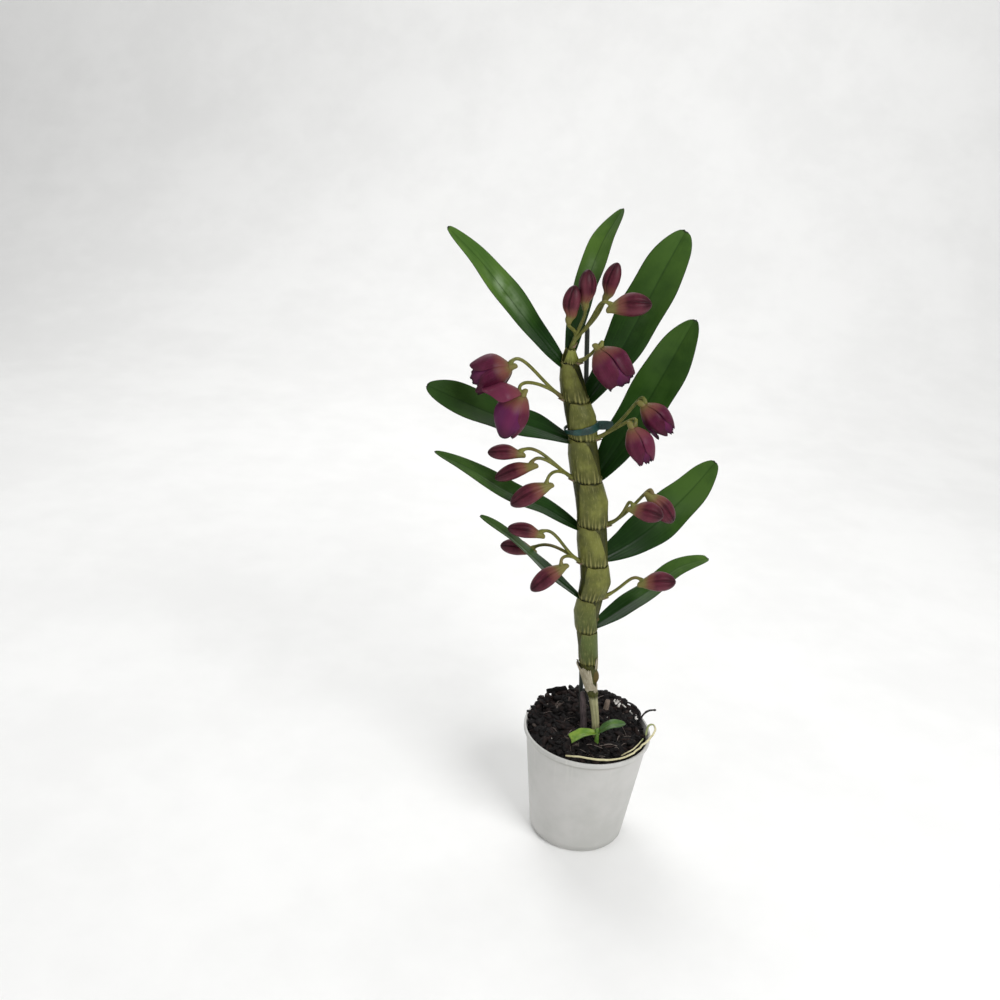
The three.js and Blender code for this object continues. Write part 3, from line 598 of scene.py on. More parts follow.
def heap_sheet():
    """The plug: rings from the middle of the top out to the wall, over the edge, and down to the bottom."""
    turn = np.linspace(0, 2 * np.pi, 161)
    share = np.linspace(0, 1, 60)[:, None]
    r = share * (POT["neck"] - POT["wall"] - MEDIUM["top_gap"])
    x, y = r * np.cos(turn), r * np.sin(turn)
    z = heap_height(x, y)
    top = np.stack([x, y, z], -1)
    top[..., 2] += (1.1 * lumps(top, 7, 3) + 0.7 * lumps(top, 2.6, 4)) * smoothstep(share, 0.0, 0.08)
    depth = np.linspace(MEDIUM["brim"], MEDIUM["bottom"], 12)[:, None]
    side = wall_radius(depth) - POT["wall"] - MEDIUM["side_gap"]
    wall = np.stack([side * np.cos(turn), side * np.sin(turn), depth * np.ones_like(turn)], -1)
    floor_ring = np.zeros((1, len(turn), 3))
    floor_ring[..., 2] = MEDIUM["bottom"]
    rings = np.concatenate([top, wall, floor_ring])
    rings[:, -1] = rings[:, 0]
    return flipped(sheet(rings, tone=0.25, kind=0.0))


heap = heap_sheet()
print("heap:", len(heap["points"]), "points, top", heap["points"][:, 2].max().round(1), "mm")


# %% Chips, crumbs, perlite and fibres
def box_points():
    """A box from -1 to 1 with two spans along, two across and one up, as a list of points and faces."""
    grid = {}
    faces = []
    for axis, sign in ((0, -1), (0, 1), (1, -1), (1, 1), (2, -1), (2, 1)):
        others = [k for k in range(3) if k != axis]
        spans = [(3, 3, 2)[k] for k in others]
        u, v = np.meshgrid(np.linspace(-1, 1, spans[0]), np.linspace(-1, 1, spans[1]), indexing="ij")
        for i in range(spans[0] - 1):
            for j in range(spans[1] - 1):
                face = []
                for a, b in ((i, j), (i + 1, j), (i + 1, j + 1), (i, j + 1)):
                    point = [0.0, 0.0, 0.0]
                    point[axis], point[others[0]], point[others[1]] = sign, u[a, b], v[a, b]
                    face.append(grid.setdefault(tuple(point), len(grid)))
                outwards = (sign > 0) == (axis != 1)
                faces.append(face if outwards else face[::-1])
    return np.array(list(grid), float), np.array(faces)


def turned(count, rng, tilt):
    """count turning matrices: a random turn about Z, then a tilt of up to tilt degrees to any side."""
    spin, lean, way = rng.uniform(0, 2 * np.pi, (3, count))
    lean = np.radians(tilt) * (lean / np.pi - 1)
    axis = np.stack([np.cos(way), np.sin(way), np.zeros(count)], -1)
    k = np.zeros((count, 3, 3))
    k[:, 0, 1], k[:, 0, 2], k[:, 1, 0] = -axis[:, 2], axis[:, 1], axis[:, 2]
    k[:, 1, 2], k[:, 2, 0], k[:, 2, 1] = -axis[:, 0], -axis[:, 1], axis[:, 0]
    tilted = np.eye(3) + np.sin(lean)[:, None, None] * k + (1 - np.cos(lean))[:, None, None] * (k @ k)
    flat = np.zeros((count, 3, 3))
    flat[:, 0, 0], flat[:, 0, 1] = np.cos(spin), -np.sin(spin)
    flat[:, 1, 0], flat[:, 1, 1], flat[:, 2, 2] = np.sin(spin), np.cos(spin), 1
    return tilted @ flat


def scattered(centres, sizes, rng, tilt, rough, **marks):
    """Boxes at centres: the points of the unit box are knocked about by rough, its long sides drawn in by a
    quarter, and then it is multiplied by its half sizes and turned."""
    points, faces = box_points()
    count = len(centres)
    knocked = points[None] + rng.normal(0, rough, (count, len(points), 3))
    knocked[..., 0] *= 1 - 0.25 * np.abs(points[None, :, 1])
    grown = knocked * sizes[:, None]
    placed = np.einsum("nij,npj->npi", turned(count, rng, tilt), grown) + centres[:, None]
    stacked = faces[None] + (np.arange(count) * len(points))[:, None, None]
    kept = {k: np.repeat(np.broadcast_to(v, count), len(points)) for k, v in marks.items()}
    around = np.tile((points[:, :2] + 1) / 2, (count, 1))
    return {"points": placed.reshape(-1, 3), "faces": stacked.reshape(-1, 4), "uv": around, "marks": kept}


def on_heap(count, rng, radii, lift, degrees=(0, 360)):
    """Random places on the heap between two radii and two angles, lift above its surface."""
    out = np.sqrt(rng.uniform(radii[0] ** 2, radii[1] ** 2, count))
    turn = rng.uniform(*np.radians(degrees), count)
    x, y = out * np.cos(turn), out * np.sin(turn)
    return np.stack([x, y, heap_height(x, y) + lift], -1)


BITS = {  # count, radii, lift, degrees, least and most half sizes, tilt, roughness, tones, kind
    "chips": (420, (0, 40), 0.4, (0, 360), (1.6, 0.9, 0.35), (5.2, 2.2, 1.1), 34, 0.14, (0, 1), 0.0),
    "crumbs": (900, (0, 40.8), 0.5, (0, 360), (0.4, 0.3, 0.2), (1.4, 0.9, 0.6), 60, 0.2, (0, 1), 0.0),
    "rim_chips": (90, (37.5, 42.8), 1.6, (18, 172), (1.6, 1, 0.5), (4.6, 2.2, 1.3), 38, 0.14, (0, 1), 0.0),
    "perlite": (14, (30, 36.5), 1.7, (44, 56), (0.8, 0.35, 0.25), (2.2, 0.7, 0.5), 80, 0.22, (0.5, 1), 1.0),
    "rim_perlite": (12, (37, 39), 1.5, (22, 36), (0.5,) * 3, (1.1,) * 3, 80, 0.22, (0.6, 1), 1.0),
    "specks": (12, (0, 38), 1.0, (0, 360), (0.2,) * 3, (0.45,) * 3, 80, 0.22, (0.2, 0.8), 1.0),
}
rng = np.random.default_rng(8)
bits = []
for name, (count, radii, lift, degrees, least, most, tilt, rough, tones, kind) in BITS.items():
    centres = on_heap(count, rng, radii, lift, degrees)
    sizes = rng.uniform(least, most, (count, 3))
    bits.append(scattered(centres, sizes, rng, tilt, rough, tone=rng.uniform(*tones, count), kind=kind))
    print(name, count)


# %% Thin fibres and a few sticks
def fibre(centre, length, azimuth, bend, thick, tone):
    """A thin thread on the heap: a line bowed sideways by a parabola, whose ends dip into the bark."""
    t = np.linspace(-0.5, 0.5, 12)
    way, aside = heading(azimuth, 0.0), heading(azimuth + 90.0, 0.0)
    line = centre + np.outer(t * length, way) + np.outer(bend * (0.25 - t**2) * 4, aside)
    line[:, 2] = heap_height(line[:, 0], line[:, 1]) + 1.5 - 5.0 * t**2 + 0.4 * np.sin(9 * t + azimuth)
    return tube(line, thick * (1 - 0.5 * np.abs(t)), 5, tone=tone, kind=2.0)


threads = [fibre(c, rng.uniform(7, 22), rng.uniform(0, 360), rng.uniform(-3, 3), rng.uniform(0.14, 0.3),
                 rng.uniform(0, 1)) for c in on_heap(46, rng, (0, 33), 0.0)]
STICKS = [  # place, then length, azimuth, bend, thickness and tone
    ((16, -20, 0), 20, 8, 0.8, 0.45, 0.85), ((-22, 14, 0), 10, 95, 0.5, 0.5, 0.7),
    ((-29, 18, 0), 7, 20, 0.3, 0.6, 1.0), ((24, -8, 0), 9, 60, 1.5, 0.35, 0.8),
    ((-12, -12, 0), 8, 62, 0.4, 0.45, 0.9), ((-14, 22, 0), 12, 88, 0.4, 0.5, 0.5)]
sticks = [fibre(*row) for row in STICKS]
print("threads:", len(threads), "sticks:", len(sticks))


# %% The long chip at the back of the rim
def tall_chip():
    """One splinter that leans up over the rim, as a flat tube with ragged ends."""
    t = np.linspace(-1, 1, 16)
    line = np.array([-24.0, 33.0, 91.0]) + np.outer(7.6 * t, heading(-8.0, 24.0))
    angle = np.linspace(0, 2 * np.pi, 13)[:-1]
    flat = 1.0 + 0.45 * np.cos(2 * angle) + 0.12 * np.cos(5 * angle)
    grown = (1.5 - 0.35 * t**2)[:, None] * flat * (1 + 0.1 * np.sin(7 * t + 1)[:, None])
    return tube(line, grown, 12, tone=0.1, kind=0.0)


# %% [markdown]
# Damp bark is nearly black, with redder splinters and a few weathered grey ones. Each box carries a random
# tone, so one material serves them all: the tone picks the colour, and a second mark tells perlite and
# fibres apart.

# %% The bark finish
bark_finish, tree, shader, place, uv = start_material("bark", 0.82)
shader.inputs["Specular IOR Level"].default_value = 0.2
tone, kind = mark(tree, "tone"), mark(tree, "kind")
soil = blotched(tree, place, 170.0, "090808", "130f0f")
red = mix(tree, ramp(tree, tone, 0.55, 1.0), soil, "231714")
grey = mix(tree, ramp(tree, tone, 0.95, 1.0), red, "4b423d")
white = mix(tree, ramp(tree, tone, 0.3, 1.0), "8d8882", "d2cfca")
straw = mix(tree, ramp(tree, tone, 0.2, 0.9), "33231f", "6e655f")
stone = mix(tree, ramp(tree, kind, 0.4, 0.9), grey, white)
tree.links.new(mix(tree, ramp(tree, kind, 1.2, 1.8), stone, straw), shader.inputs["Base Color"])
rough = plus(tree, times(tree, noise(tree, place, 320.0), 0.45), 0.5)
tree.links.new(rough, shader.inputs["Roughness"])
bump(tree, shader, grain(tree, place, 700.0), 0.6, 0.0006)

make_piece("medium_bark", [heap, *bits, tall_chip(), *threads, *sticks], bark_finish, ["growing_medium"])

# %% [markdown]
# ## The cane
# The stem swells and zigzags a little from ring to ring. A sheath grows up from every ring and wraps the
# stem nearly as far as the next. It is open on one side, where its mouth drops in a wedge and the dark bare
# cane shows. Near its foot the sheath is gathered in pale pleats. The bare core and the sheaths are
# separate surfaces, because a bump alone could not give the edge of the mouth its thickness.

# %% The core of the cane
CANE = np.array([  # height, x, y, radius, and 1 for a ring
    [62, 9, -15, 2.4, 0], [81, 7, -11.5, 2.5, 0], [98, 4.5, -8.5, 2.6, 0], [112, 1.5, -6, 3, 0],
    [124, -2, -4, 4.4, 0], [138, -5, -2, 6.6, 1], [151, -7, -1, 7.2, 0], [162, -9, 0, 7.6, 1],
    [176, -10, 0, 9.1, 0], [187.5, -8.5, 0, 9, 1], [200, -7, 0, 10.6, 0], [213.5, -9.5, 0, 10, 1],
    [229, -12, 0, 10.7, 0], [241, -13.5, 0, 10.2, 1], [258, -16, 0, 11.2, 0], [272, -20.5, 0, 10.3, 1],
    [288, -24, 0, 10.5, 0], [300, -26, 0, 9.4, 1], [315, -29.5, 0, 10.3, 0], [324.5, -33, 0, 9, 1],
    [337, -36.5, 0, 8.2, 0], [348.5, -39, 0, 6, 1], [357, -40, 0, 3.2, 0]])
RINGS = CANE[CANE[:, 4] == 1]
FOOT, TIP = CANE[0], CANE[-1]
WEDGES = [(192, 0.95), (3, 1.4)] * 4 + [(205, 0.8)]  # where each sheath is open: azimuth and half angle


def cane_at(z):
    """Centre and radius of the cane at heights z, on straight lines between the rows."""
    return [np.interp(z, CANE[:, 0], CANE[:, k]) for k in (1, 2, 3)]


def ring_place(number):
    """x, y, z and radius of a ring, counted from 1; one past the last is the tip."""
    row = RINGS[number - 1] if number <= len(RINGS) else TIP
    return np.array([row[1], row[2], row[0]]), row[3]


def cane_rings(z, angle, proud):
    """Level rings of points at heights z, proud millimetres outside the cane's own radius."""
    x, y, r = cane_at(z)
    out = r + proud
    return np.stack([x + out * np.cos(angle), y + out * np.sin(angle), z * np.ones_like(angle)], -1)


FOOT_RING = 116.5  # height of the dark knee under the dead bract
CORE_INSET = 0.8  # how far the bare stem lies inside the sheaths


def core_sheet():
    """The bare stem: ribbed by 26 fine waves round it, drawn in at each ring by a narrow bell curve,
    thickened at the knee of its foot, and rounded off at its tip by a quarter circle."""
    z = np.concatenate([np.linspace(FOOT[0], 136, 60), np.linspace(136.8, TIP[0] + 0.6, 200)])[:, None]
    angle = np.linspace(0, 2 * np.pi, 73)
    near = np.abs(z - RINGS[:, 0]).min(1, keepdims=True)
    pinch = 0.8 * np.exp(-(near / 0.9) ** 2)
    bare = smoothstep(z, 134, 142)
    ribs = 0.14 * np.cos(26 * angle + 0.05 * z) * bare + 0.18 * np.cos(9 * angle + 0.03 * z) * (1 - bare)
    end = 3.2 * (1 - np.sqrt(1 - smoothstep(z, 354.5, 358) ** 2))
    knee = 0.7 * np.exp(-((z - FOOT_RING) / 1.6) ** 2)
    rings = cane_rings(z, angle, ribs - pinch - CORE_INSET * bare - end + knee)
    poles = [np.broadcast_to([row[1], row[2], row[0] + past], (1, len(angle), 3))
             for row, past in ((FOOT, -0.2), (TIP, 0.7))]
    rings = np.concatenate([poles[0], rings, poles[1]])
    rings[:, -1] = rings[:, 0]
    height = rings[..., 2]
    return sheet(rings, along=np.clip((height - FOOT[0]) / 296, 0, 1), kind=0.0, ridge=0.0,
                 foot=1 - smoothstep(height, 112, 114.5))


core = core_sheet()
print("core:", len(core["points"]), "points;", len(RINGS), "rings")


# %% The sheaths
SHEATH = {"wall": 0.45, "clear": 0.3, "drop": 0.92}  # thickness, gap to the ring, depth of the opening


def sheath_sheets(number):
    """The sheath between two rings. Its outer skin follows the cane's radius. Its mouth lies just under the
    upper ring and drops nearly to the lower one in the opening: an S-shaped step of the angle from the
    opening's middle. Its foot is gathered in pleats: a wave round it, uneven because other waves shift its
    phase. The pleats fall off with the height above the ring, faster in some than in others, and are calmer
    right at the hem."""
    low, high = ring_place(number)[0][2], ring_place(number + 1)[0][2]
    tall = high - low
    columns, rows = 161, 22
    angle = np.linspace(0, 2 * np.pi, columns)[None]
    share = (np.linspace(0, 1, rows) ** 0.9)[:, None]
    wedge, opening = WEDGES[number - 1]
    far = np.abs((angle - radians(wedge) + np.pi) % (2 * np.pi) - np.pi)
    dip = SHEATH["drop"] * tall * smoothstep(far, opening, 0.3)
    crease = 1.1 * np.exp(-((far - opening + 0.1) / 0.07) ** 2)
    mouth = high - SHEATH["clear"] - dip - crease + 0.25 * np.sin(7 * angle + number)
    count = 21 + number % 4
    shift = 2.2 * np.sin(3 * angle + number) + 0.9 * np.sin(7 * angle + 2 * number) + 2.0 * number
    phase = count * angle + shift
    tooth = 0.5 + 0.5 * np.sin(phase)
    hem = 0.3 * np.sin(5 * angle + 2.0 * number) - 0.3 * tooth * (0.7 + 0.3 * np.sin(4 * angle))
    foot = low + SHEATH["clear"] + hem
    z = foot + np.maximum(mouth - foot, 0.4) * share
    reach_up = tall * (0.46 + 0.14 * np.sin(5 * angle + number) + 0.08 * np.sin(11 * angle + 2 * number))
    gather = np.clip(1 - (z - foot) / reach_up, 0, 1) ** 0.9
    tuck = 0.45 * np.exp(-((z - foot) / 1.3) ** 2) + 0.25 * np.exp(-((1 - share) / 0.05) ** 2)
    calm = 1 - 0.6 * np.exp(-((z - foot) / 1.5) ** 2)
    skin = (0.26 + 0.16 * np.sin(5 * angle + 3 * number)) * np.sin(phase) * gather * calm - tuck
    skin = skin + 0.12 * np.sin(2 * angle + number) * share
    outer, inner = cane_rings(z, angle, skin), cane_rings(z, angle, skin - SHEATH["wall"])
    inner[0], inner[-1] = outer[0], outer[-1]
    outer[:, -1], inner[:, -1] = outer[:, 0], inner[:, 0]
    marks = {"kind": 1.0, "foot": 0.0, "ridge": gather * tooth, "low": gather,
             "lip": np.exp(-((mouth - z) / 0.7) ** 2), "young": float(number == len(RINGS))}
    return [sheet(outer, along=share, **marks), flipped(sheet(inner, along=share, **marks))]


sheaths = [one for number in range(1, len(RINGS) + 1) for one in sheath_sheets(number)]
print("sheaths:", len(sheaths) // 2)

# %% [markdown]
# Two dormant eyes show low on the cane: a fat brown one beside the dead bract, and a small one above it.
# They are low pointed lumps that lie against the stem.

# %% The eyes
EYES = [(129, 338, 4.6, 12, 2.6), (172, 345, 1.2, 3.0, 1.0)]  # height, azimuth, width, length, stand-off
EYE_STEM = 5.5  # radius of the stem where the eyes sit


def eye_bud(z, azimuth, wide, tall, proud):
    """A low pointed lump: it stands off the stem by a half sine along and a cosine across, and its width
    follows a half sine too. It starts under the stem's skin, so its rim is hidden."""
    u = np.linspace(0, 1, 18)[:, None]
    v = np.linspace(-1, 1, 15)[None]
    angle = radians(azimuth) + v * (wide / EYE_STEM) * np.sin(np.pi * np.clip(u, 0.03, 0.97)) ** 0.7
    lift = proud * np.sin(np.pi * u) ** 0.8 * np.cos(v * np.pi / 2) - 0.9
    return sheet(cane_rings(z + tall * (u - 0.5), angle, lift), kind=0.0, foot=0.0, ridge=0.0, eye=1.0)


eyes = [eye_bud(*row) for row in EYES]

# %% [markdown]
# The core is dark olive where it is bare and straw-grey at the foot. The sheaths are a dull olive skin with
# brown stains and flecks. They are paler where they dry: along the mouth, on the crests of the pleats and
# in fine lengthwise threads.

# %% The cane's finish
cane_finish, tree, shader, place, uv = start_material("cane_skin", 0.5)
shader.inputs["Specular IOR Level"].default_value = 0.25
kind, foot, ridge = mark(tree, "kind"), mark(tree, "foot"), mark(tree, "ridge")
threads_along = fibres(tree, uv, 70.0, 6.0)
bare = blotched(tree, place, 120.0, "2b2f0e", "464714")
striped = tint(tree, bare, "191a06", threads_along["Dark"], 0.7)
old = blotched(tree, place, 90.0, "95936f", "7b7a55")
old_lines = fibres(tree, uv, 34.0, 9.0)
old_dark = tint(tree, old, "4c4a33", old_lines["Dark"], 0.75)
old_both = tint(tree, old_dark, "b7b394", old_lines["Light"], 0.8)
core_colour = mix(tree, foot, striped, old_both)
eyed = mix(tree, mark(tree, "eye"), core_colour, "52451d")
skin = blotched(tree, place, 70.0, "505324", "6e7034")
height = node(tree, "SeparateXYZ", {0: place}).outputs["Z"]
greener = mix(tree, ramp(tree, height, 0.2, 0.15), skin, "4c582a")
stains = ramp(tree, noise(tree, place, 55.0, 4.0, 0.6), 0.5, 0.72)
stained = tint(tree, greener, "36330f", stains, 0.6)
fresh = tint(tree, stained, "8a9140", mark(tree, "young"), 0.6)
low = tint(tree, fresh, "34360f", mark(tree, "low"), 0.8)
veined = tint(tree, low, "8a8852", threads_along["Light"], 0.5)
dried = tint(tree, veined, "87834c", ramp(tree, ridge, 0.35, 0.8), 0.75)
mouthed = tint(tree, dried, "7d7a45", mark(tree, "lip"), 0.5)
fleck = noise(tree, place, 900.0, 2.0)
flecked = tint(tree, mouthed, "4a431f", ramp(tree, fleck, 0.66, 0.76), 0.5)
tree.links.new(mix(tree, kind, eyed, flecked), shader.inputs["Base Color"])
gloss = plus(tree, times(tree, threads_along["Fac"], 0.25), 0.36)
tree.links.new(gloss, shader.inputs["Roughness"])
relief = plus(tree, threads_along["Fac"], times(tree, grain(tree, place, 900.0), 0.25))
bump(tree, shader, relief, 0.35, 0.0005)

make_piece("cane_and_sheaths", [core, *sheaths, *eyes], cane_finish, ["cane"])

# %% [markdown]
# ## The dead bract and the stubs
# A dead sheath is like wrinkled paper: cream, with grey lines along it, cut off slantwise below and torn
# above. It wraps the front and left of the foot and leaves the brown eye on the right free. Two stumps of
# older canes stand behind.

# %% The bract
PAPER = 0.4  # thickness of the dead skin


def torn_wrap(angle, low, high, proud, v):
    """A thin skin round the cane between two torn heights, closed by a second one inside it."""
    skins = [cane_rings(low + (high - low) * v, angle, proud - depth) for depth in (0.0, PAPER)]
    for side in (np.s_[0], np.s_[-1], np.s_[:, 0], np.s_[:, -1]):
        skins[1][side] = skins[0][side]
    return [sheet(skins[0]), flipped(sheet(skins[1]))]


def bract_sheets():
    """The flap on the front and left: a straight edge on the right, a slant below, torn by short waves
    above. Two white flakes stand off on the right, one over the eye and one under it."""
    u = np.linspace(0, 1, 90)[None]
    v = np.linspace(0, 1, 40)[:, None]
    flap = torn_wrap(np.radians(152 + 130 * u - 14 * (1 - v) * (1 - 2 * u)),
                     116.8 + 4.4 * u**2 + 0.5 * np.sin(19 * u),
                     137.2 - 0.8 * u + 0.7 * np.sin(23 * u) * np.sin(6 * u) - 0.4 * np.sin(60 * u),
                     0.9 + 0.5 * v**2 + 0.24 * np.sin(30 * np.pi * u) * (0.5 + 0.5 * v) + 0.5 * v**6, v)
    over = torn_wrap(np.radians(326 + 30 * (u - 0.5) * (1 - 0.4 * v)), 135.5 + 0.5 * np.sin(20 * u),
                     143.4 + 0.7 * np.sin(15 * u), 0.6 + 0.5 * v + 0.15 * np.sin(18 * u), v)
    under = torn_wrap(np.radians(312 + 44 * (u - 0.5)), 118.3 + 0.6 * np.sin(14 * u),
                      123.6 + 1.2 * np.sin(9 * u), 0.7 + 0.3 * v + 0.12 * np.sin(20 * u), v)
    return flap + over + under


bract_finish, tree, shader, place, uv = start_material("dry_paper", 0.85)
wrinkles = fibres(tree, uv, 46.0, 2.5)
paper = blotched(tree, place, 200.0, "aba38d", "8f876f")
lined = tint(tree, paper, "6f6757", wrinkles["Dark"], 0.8)
bright = tint(tree, lined, "cfc8b6", wrinkles["Light"], 0.7)
tree.links.new(bright, shader.inputs["Base Color"])
bump(tree, shader, wrinkles["Fac"], 0.6, 0.0008)
make_piece("bract_paper", bract_sheets(), bract_finish, ["dry_bract"])


# %% The stubs
def stub_sheet(foot, top, radius, seed):
    """A short stump: a tube with a few long ribs that is drawn in under a rounded, broken end."""
    t = np.linspace(0, 1, 26)
    line = np.outer(1 - t, foot) + np.outer(t, top)
    angle = np.linspace(0, 2 * np.pi, 21)[:-1]
    ribs = 1 + 0.1 * np.sin(3 * angle) + 0.06 * np.sin(8 * angle + seed)
    shape = (1.1 - 0.15 * t) * np.sqrt(np.clip(1 - smoothstep(t, 0.9, 1.08) ** 2, 0.15, 1))
    wobble = 1 + 0.06 * np.sin(5 * t[:, None] + angle + seed)
    return tube(line, radius * shape[:, None] * ribs * wobble, 20)


def stub_finish(name, first, second, lines):
    """Dead stem: blotched, with long dark lines."""
    made, tree, shader, place, uv = start_material(name, 0.8)
    tone = blotched(tree, place, 150.0, first, second)
    grown = fibres(tree, uv, 22.0, 5.0)
    tree.links.new(mix(tree, grown["Dark"], tone, lines), shader.inputs["Base Color"])
    bump(tree, shader, grown["Fac"], 0.5, 0.0007)
    return made


make_piece("stub_behind", [stub_sheet([-1, -8, 74], [-6, -3, 114], 2.2, 1.0)],
           stub_finish("dead_stem_dark", "2c2223", "4a3e3f", "140e0f"), ["old_stub_dark"])
make_piece("stub_right", [stub_sheet([11.5, 16, 74], [13.4, 17.4, 97], 1.9, 2.0)],
           stub_finish("dead_stem_pale", "7c6d60", "5d4f45", "3a2f29"), ["old_stub_pale"])

# %% [markdown]
# ## The leaves
# A strap leaf is a thin keeled blade: folded along the midrib, widest near the middle, with a blunt tip
# that has a small notch. It is made as two skins over one formula. The skins are 0.9 mm apart in the middle
# and meet in a sharp rim, so the mesh is closed. The ribs, the groove of the midrib and the wave of the
# margin are in the points themselves; a bump adds only the finest lines.

# %% The leaf's formula
LEAVES = {  # ring, height above it, length, width, widest place, azimuths, rises, roll at base and tip
    1: (2, 1, 98, 18, 0.4, [32, 26], [26, 29, 36, 12], [10, 15]),
    2: (3, -2, 91, 20, 0.45, [183, 183], [37, 40, 39, 32], [0, 4]),
    3: (4, 2, 107, 30, 0.45, [36, 38], [20, 30, 37, 43], [24, 24]),
    4: (5, -4, 109, 19, 0.42, [183, 183], [28, 20, 28, 22], [-22, -18]),
    5: (6, 0, 121, 31, 0.5, [36, 42], [54, 55, 58, 57], [24, 24]),
    6: (7, -3, 99, 28, 0.5, [183, 183], [17, 13, 18, 20], [-14, -40]),
    7: (8, -2, 124, 31, 0.6, [26, 38, 44], [57, 61, 61, 57], [24, 24]),
    8: (9, -3, 111, 22.5, 0.4, [183, 183], [46, 48, 47, 41], [-30, -34]),
    9: (10, -5, 98, 18.5, 0.72, [76, 40], [66, 68, 65, 56], [0, 0]),
}
LEAF_AGE = {1: 0.3, 2: 0.15, 3: 0.2, 4: 0.2, 5: 0.1, 6: 0.05, 7: 0.15, 8: 0.7, 9: 0.5}  # 1 is the youngest
LEAF_THICK, GROOVE, RIB, RIB_SPACING = 0.9, 0.45, 0.07, 2.3


def spread_values(values, share):
    """Values spread evenly from 0 to 1, read at share."""
    return np.interp(share, np.linspace(0, 1, len(values)), values)


def midrib_points(start, length, azimuths, rises):
    """The midrib's corners: equal legs from start, each with its own azimuth and rise."""
    legs = heading(spread_values(azimuths, np.linspace(0, 1, len(rises))), np.array(rises, float))
    return np.vstack([start, start + np.cumsum(legs * length / len(rises), axis=0)])


def leaf_width(share, widest, base=0.3, tip=0.06, blunt=2.4):
    """Width as a share of the full one: a quarter sine, to the power 0.8, from the base to the widest
    place, then a close to the tip that is later and blunter the higher the power blunt."""
    opening = base + (1 - base) * np.sin(np.clip(share / widest, 0, 1) * np.pi / 2) ** 0.8
    past = np.clip((share - widest) / (1 - widest), 0, 1)
    closing = tip + (1 - tip) * (1 - past**blunt) ** (0.26 * blunt)
    return np.where(share < widest, opening, closing)


def blade_frame(corners, share, turn):
    """Place, side and normal on a midrib. The side is level at first, then side and normal are both turned
    by turn degrees about the direction in which the midrib runs."""
    here = curve_at(corners, share)
    forward = unit(curve_at(corners, share + 0.002) - curve_at(corners, share - 0.002))
    side = unit(np.cross(forward, [0.0, 0.0, 1.0]))
    normal = np.cross(side, forward)
    c, s = np.cos(np.radians(turn))[..., None], np.sin(np.radians(turn))[..., None]
    return here, side * c - normal * s, normal * c + side * s


def leaf_sheets(corners, length, width, widest, rolls, wave, seed, rows=90, columns=41, fold=0.12,
                notch=0.35, blunt=2.4, cut=False, **marks):
    """Upper and lower skin of a leaf. Across the blade the height is a rounded V (the fold), less a groove
    along the midrib, plus fine parallel ribs and a slow wave at the margin. The half width swings by 3%
    along the blade, the notch pulls the middle of the tip back, and a cut leaf keeps its width to a square
    end. The skins part by the thickness times a curve that is 1 in the middle and 0 at the rim."""
    s = np.linspace(0, 1, rows)[:, None]
    t = np.sin(np.linspace(-np.pi / 2, np.pi / 2, columns))[None]
    pulled = s - (notch / length) * (1 - np.abs(t)) * smoothstep(s, 0.86, 1)
    here, side, normal = blade_frame(corners, np.clip(pulled, 0, 1), spread_values(rolls, s) + 0 * t)
    half = 0.5 * width * (leaf_width(s, widest, 0.35, 0.9) if cut else leaf_width(s, widest, blunt=blunt))
    half = half * (1 + 0.03 * np.sin(19 * s + 2.1 * seed + 1.6 * np.sign(t)) * smoothstep(s, 0.1, 0.3))
    bend = np.sqrt(t**2 + 0.02)
    height = fold * half * (1.6 * bend - 0.6)
    height = height - GROOVE * np.exp(-((t * half) / 0.9) ** 2) * (1 - 0.5 * s)
    height = height + RIB * np.cos(t * half * 2 * np.pi / RIB_SPACING) * (1 - t**2)
    swing = np.sin(2 * np.pi * (1.6 * s + 0.3 * np.sign(t)) + seed)
    height = height + wave * t**2 * swing * smoothstep(s, 0.05, 0.3)
    middle_skin = here + side * (t * half)[..., None] + normal * height[..., None]
    apart = 0.5 * LEAF_THICK * np.sqrt(1 - t**8) * np.sqrt(np.clip(1 - (2 * s - 1) ** 20, 0, 1))
    upper = middle_skin + normal * apart[..., None]
    lower = middle_skin - normal * apart[..., None]
    shared = {"across": (t + 1) / 2, "along": s, "reach": s, **marks}
    return [sheet(upper, under=0.0, **shared), flipped(sheet(lower, under=1.0, **shared))]


# %% [markdown]
# The green is deep, with a soft gloss. It is lighter and yellower towards the tip, darker at the base,
# streaked by the veins, and each leaf has its own tone by age. The younger ones carry a pale painted
# highlight half-way along, and painted shade darkens the groove of the midrib on the upper side. The rim is
# a thin dark line and the very tip is blackened. Towards the tip the veins fade and the skin is duller. The
# underside is paler and duller too, and a few round scars and dusty places break up the shine.

# %% The leaf finish
leaf_finish, tree, shader, place, uv = start_material("leaf_skin", 0.3)
shader.inputs["Specular IOR Level"].default_value = 0.17
spot = node(tree, "SeparateXYZ", {0: uv})
across, reach = spot.outputs["X"], spot.outputs["Y"]
edge = maths(tree, "ABSOLUTE", maths(tree, "SUBTRACT", times(tree, across, 2.0), 1.0))
age, under = mark(tree, "age"), mark(tree, "under")
deep = blotched(tree, place, 28.0, "122d0a", "1a3a10")
young = blotched(tree, place, 28.0, "3c5c1e", "54742a")
by_age = plus(tree, times(tree, age, 1.1), 0.25)
aged = maths(tree, "MULTIPLY", by_age, ramp(tree, reach, 0.15, 0.85), clamp=True)
green = mix(tree, aged, deep, young)
veins = fibres(tree, uv, 26.0, 1.6)
clear = ramp(tree, reach, 0.85, 0.4)
dark_veins = mix(tree, times(tree, veins["Dark"], times(tree, clear, 0.22)), green, "10280a")
# Painted highlight: a pale whitish patch half-way along the blade, strongest on the younger leaves.
highlight_band = times(tree, times(tree, ramp(tree, reach, 0.3, 0.52), ramp(tree, reach, 0.74, 0.55)),
                 ramp(tree, edge, 0.75, 0.1))
highlight_patches = times(tree, maths(tree, "POWER", age, 2.0), ramp(tree, noise(tree, place, 90.0), 0.3, 0.7))
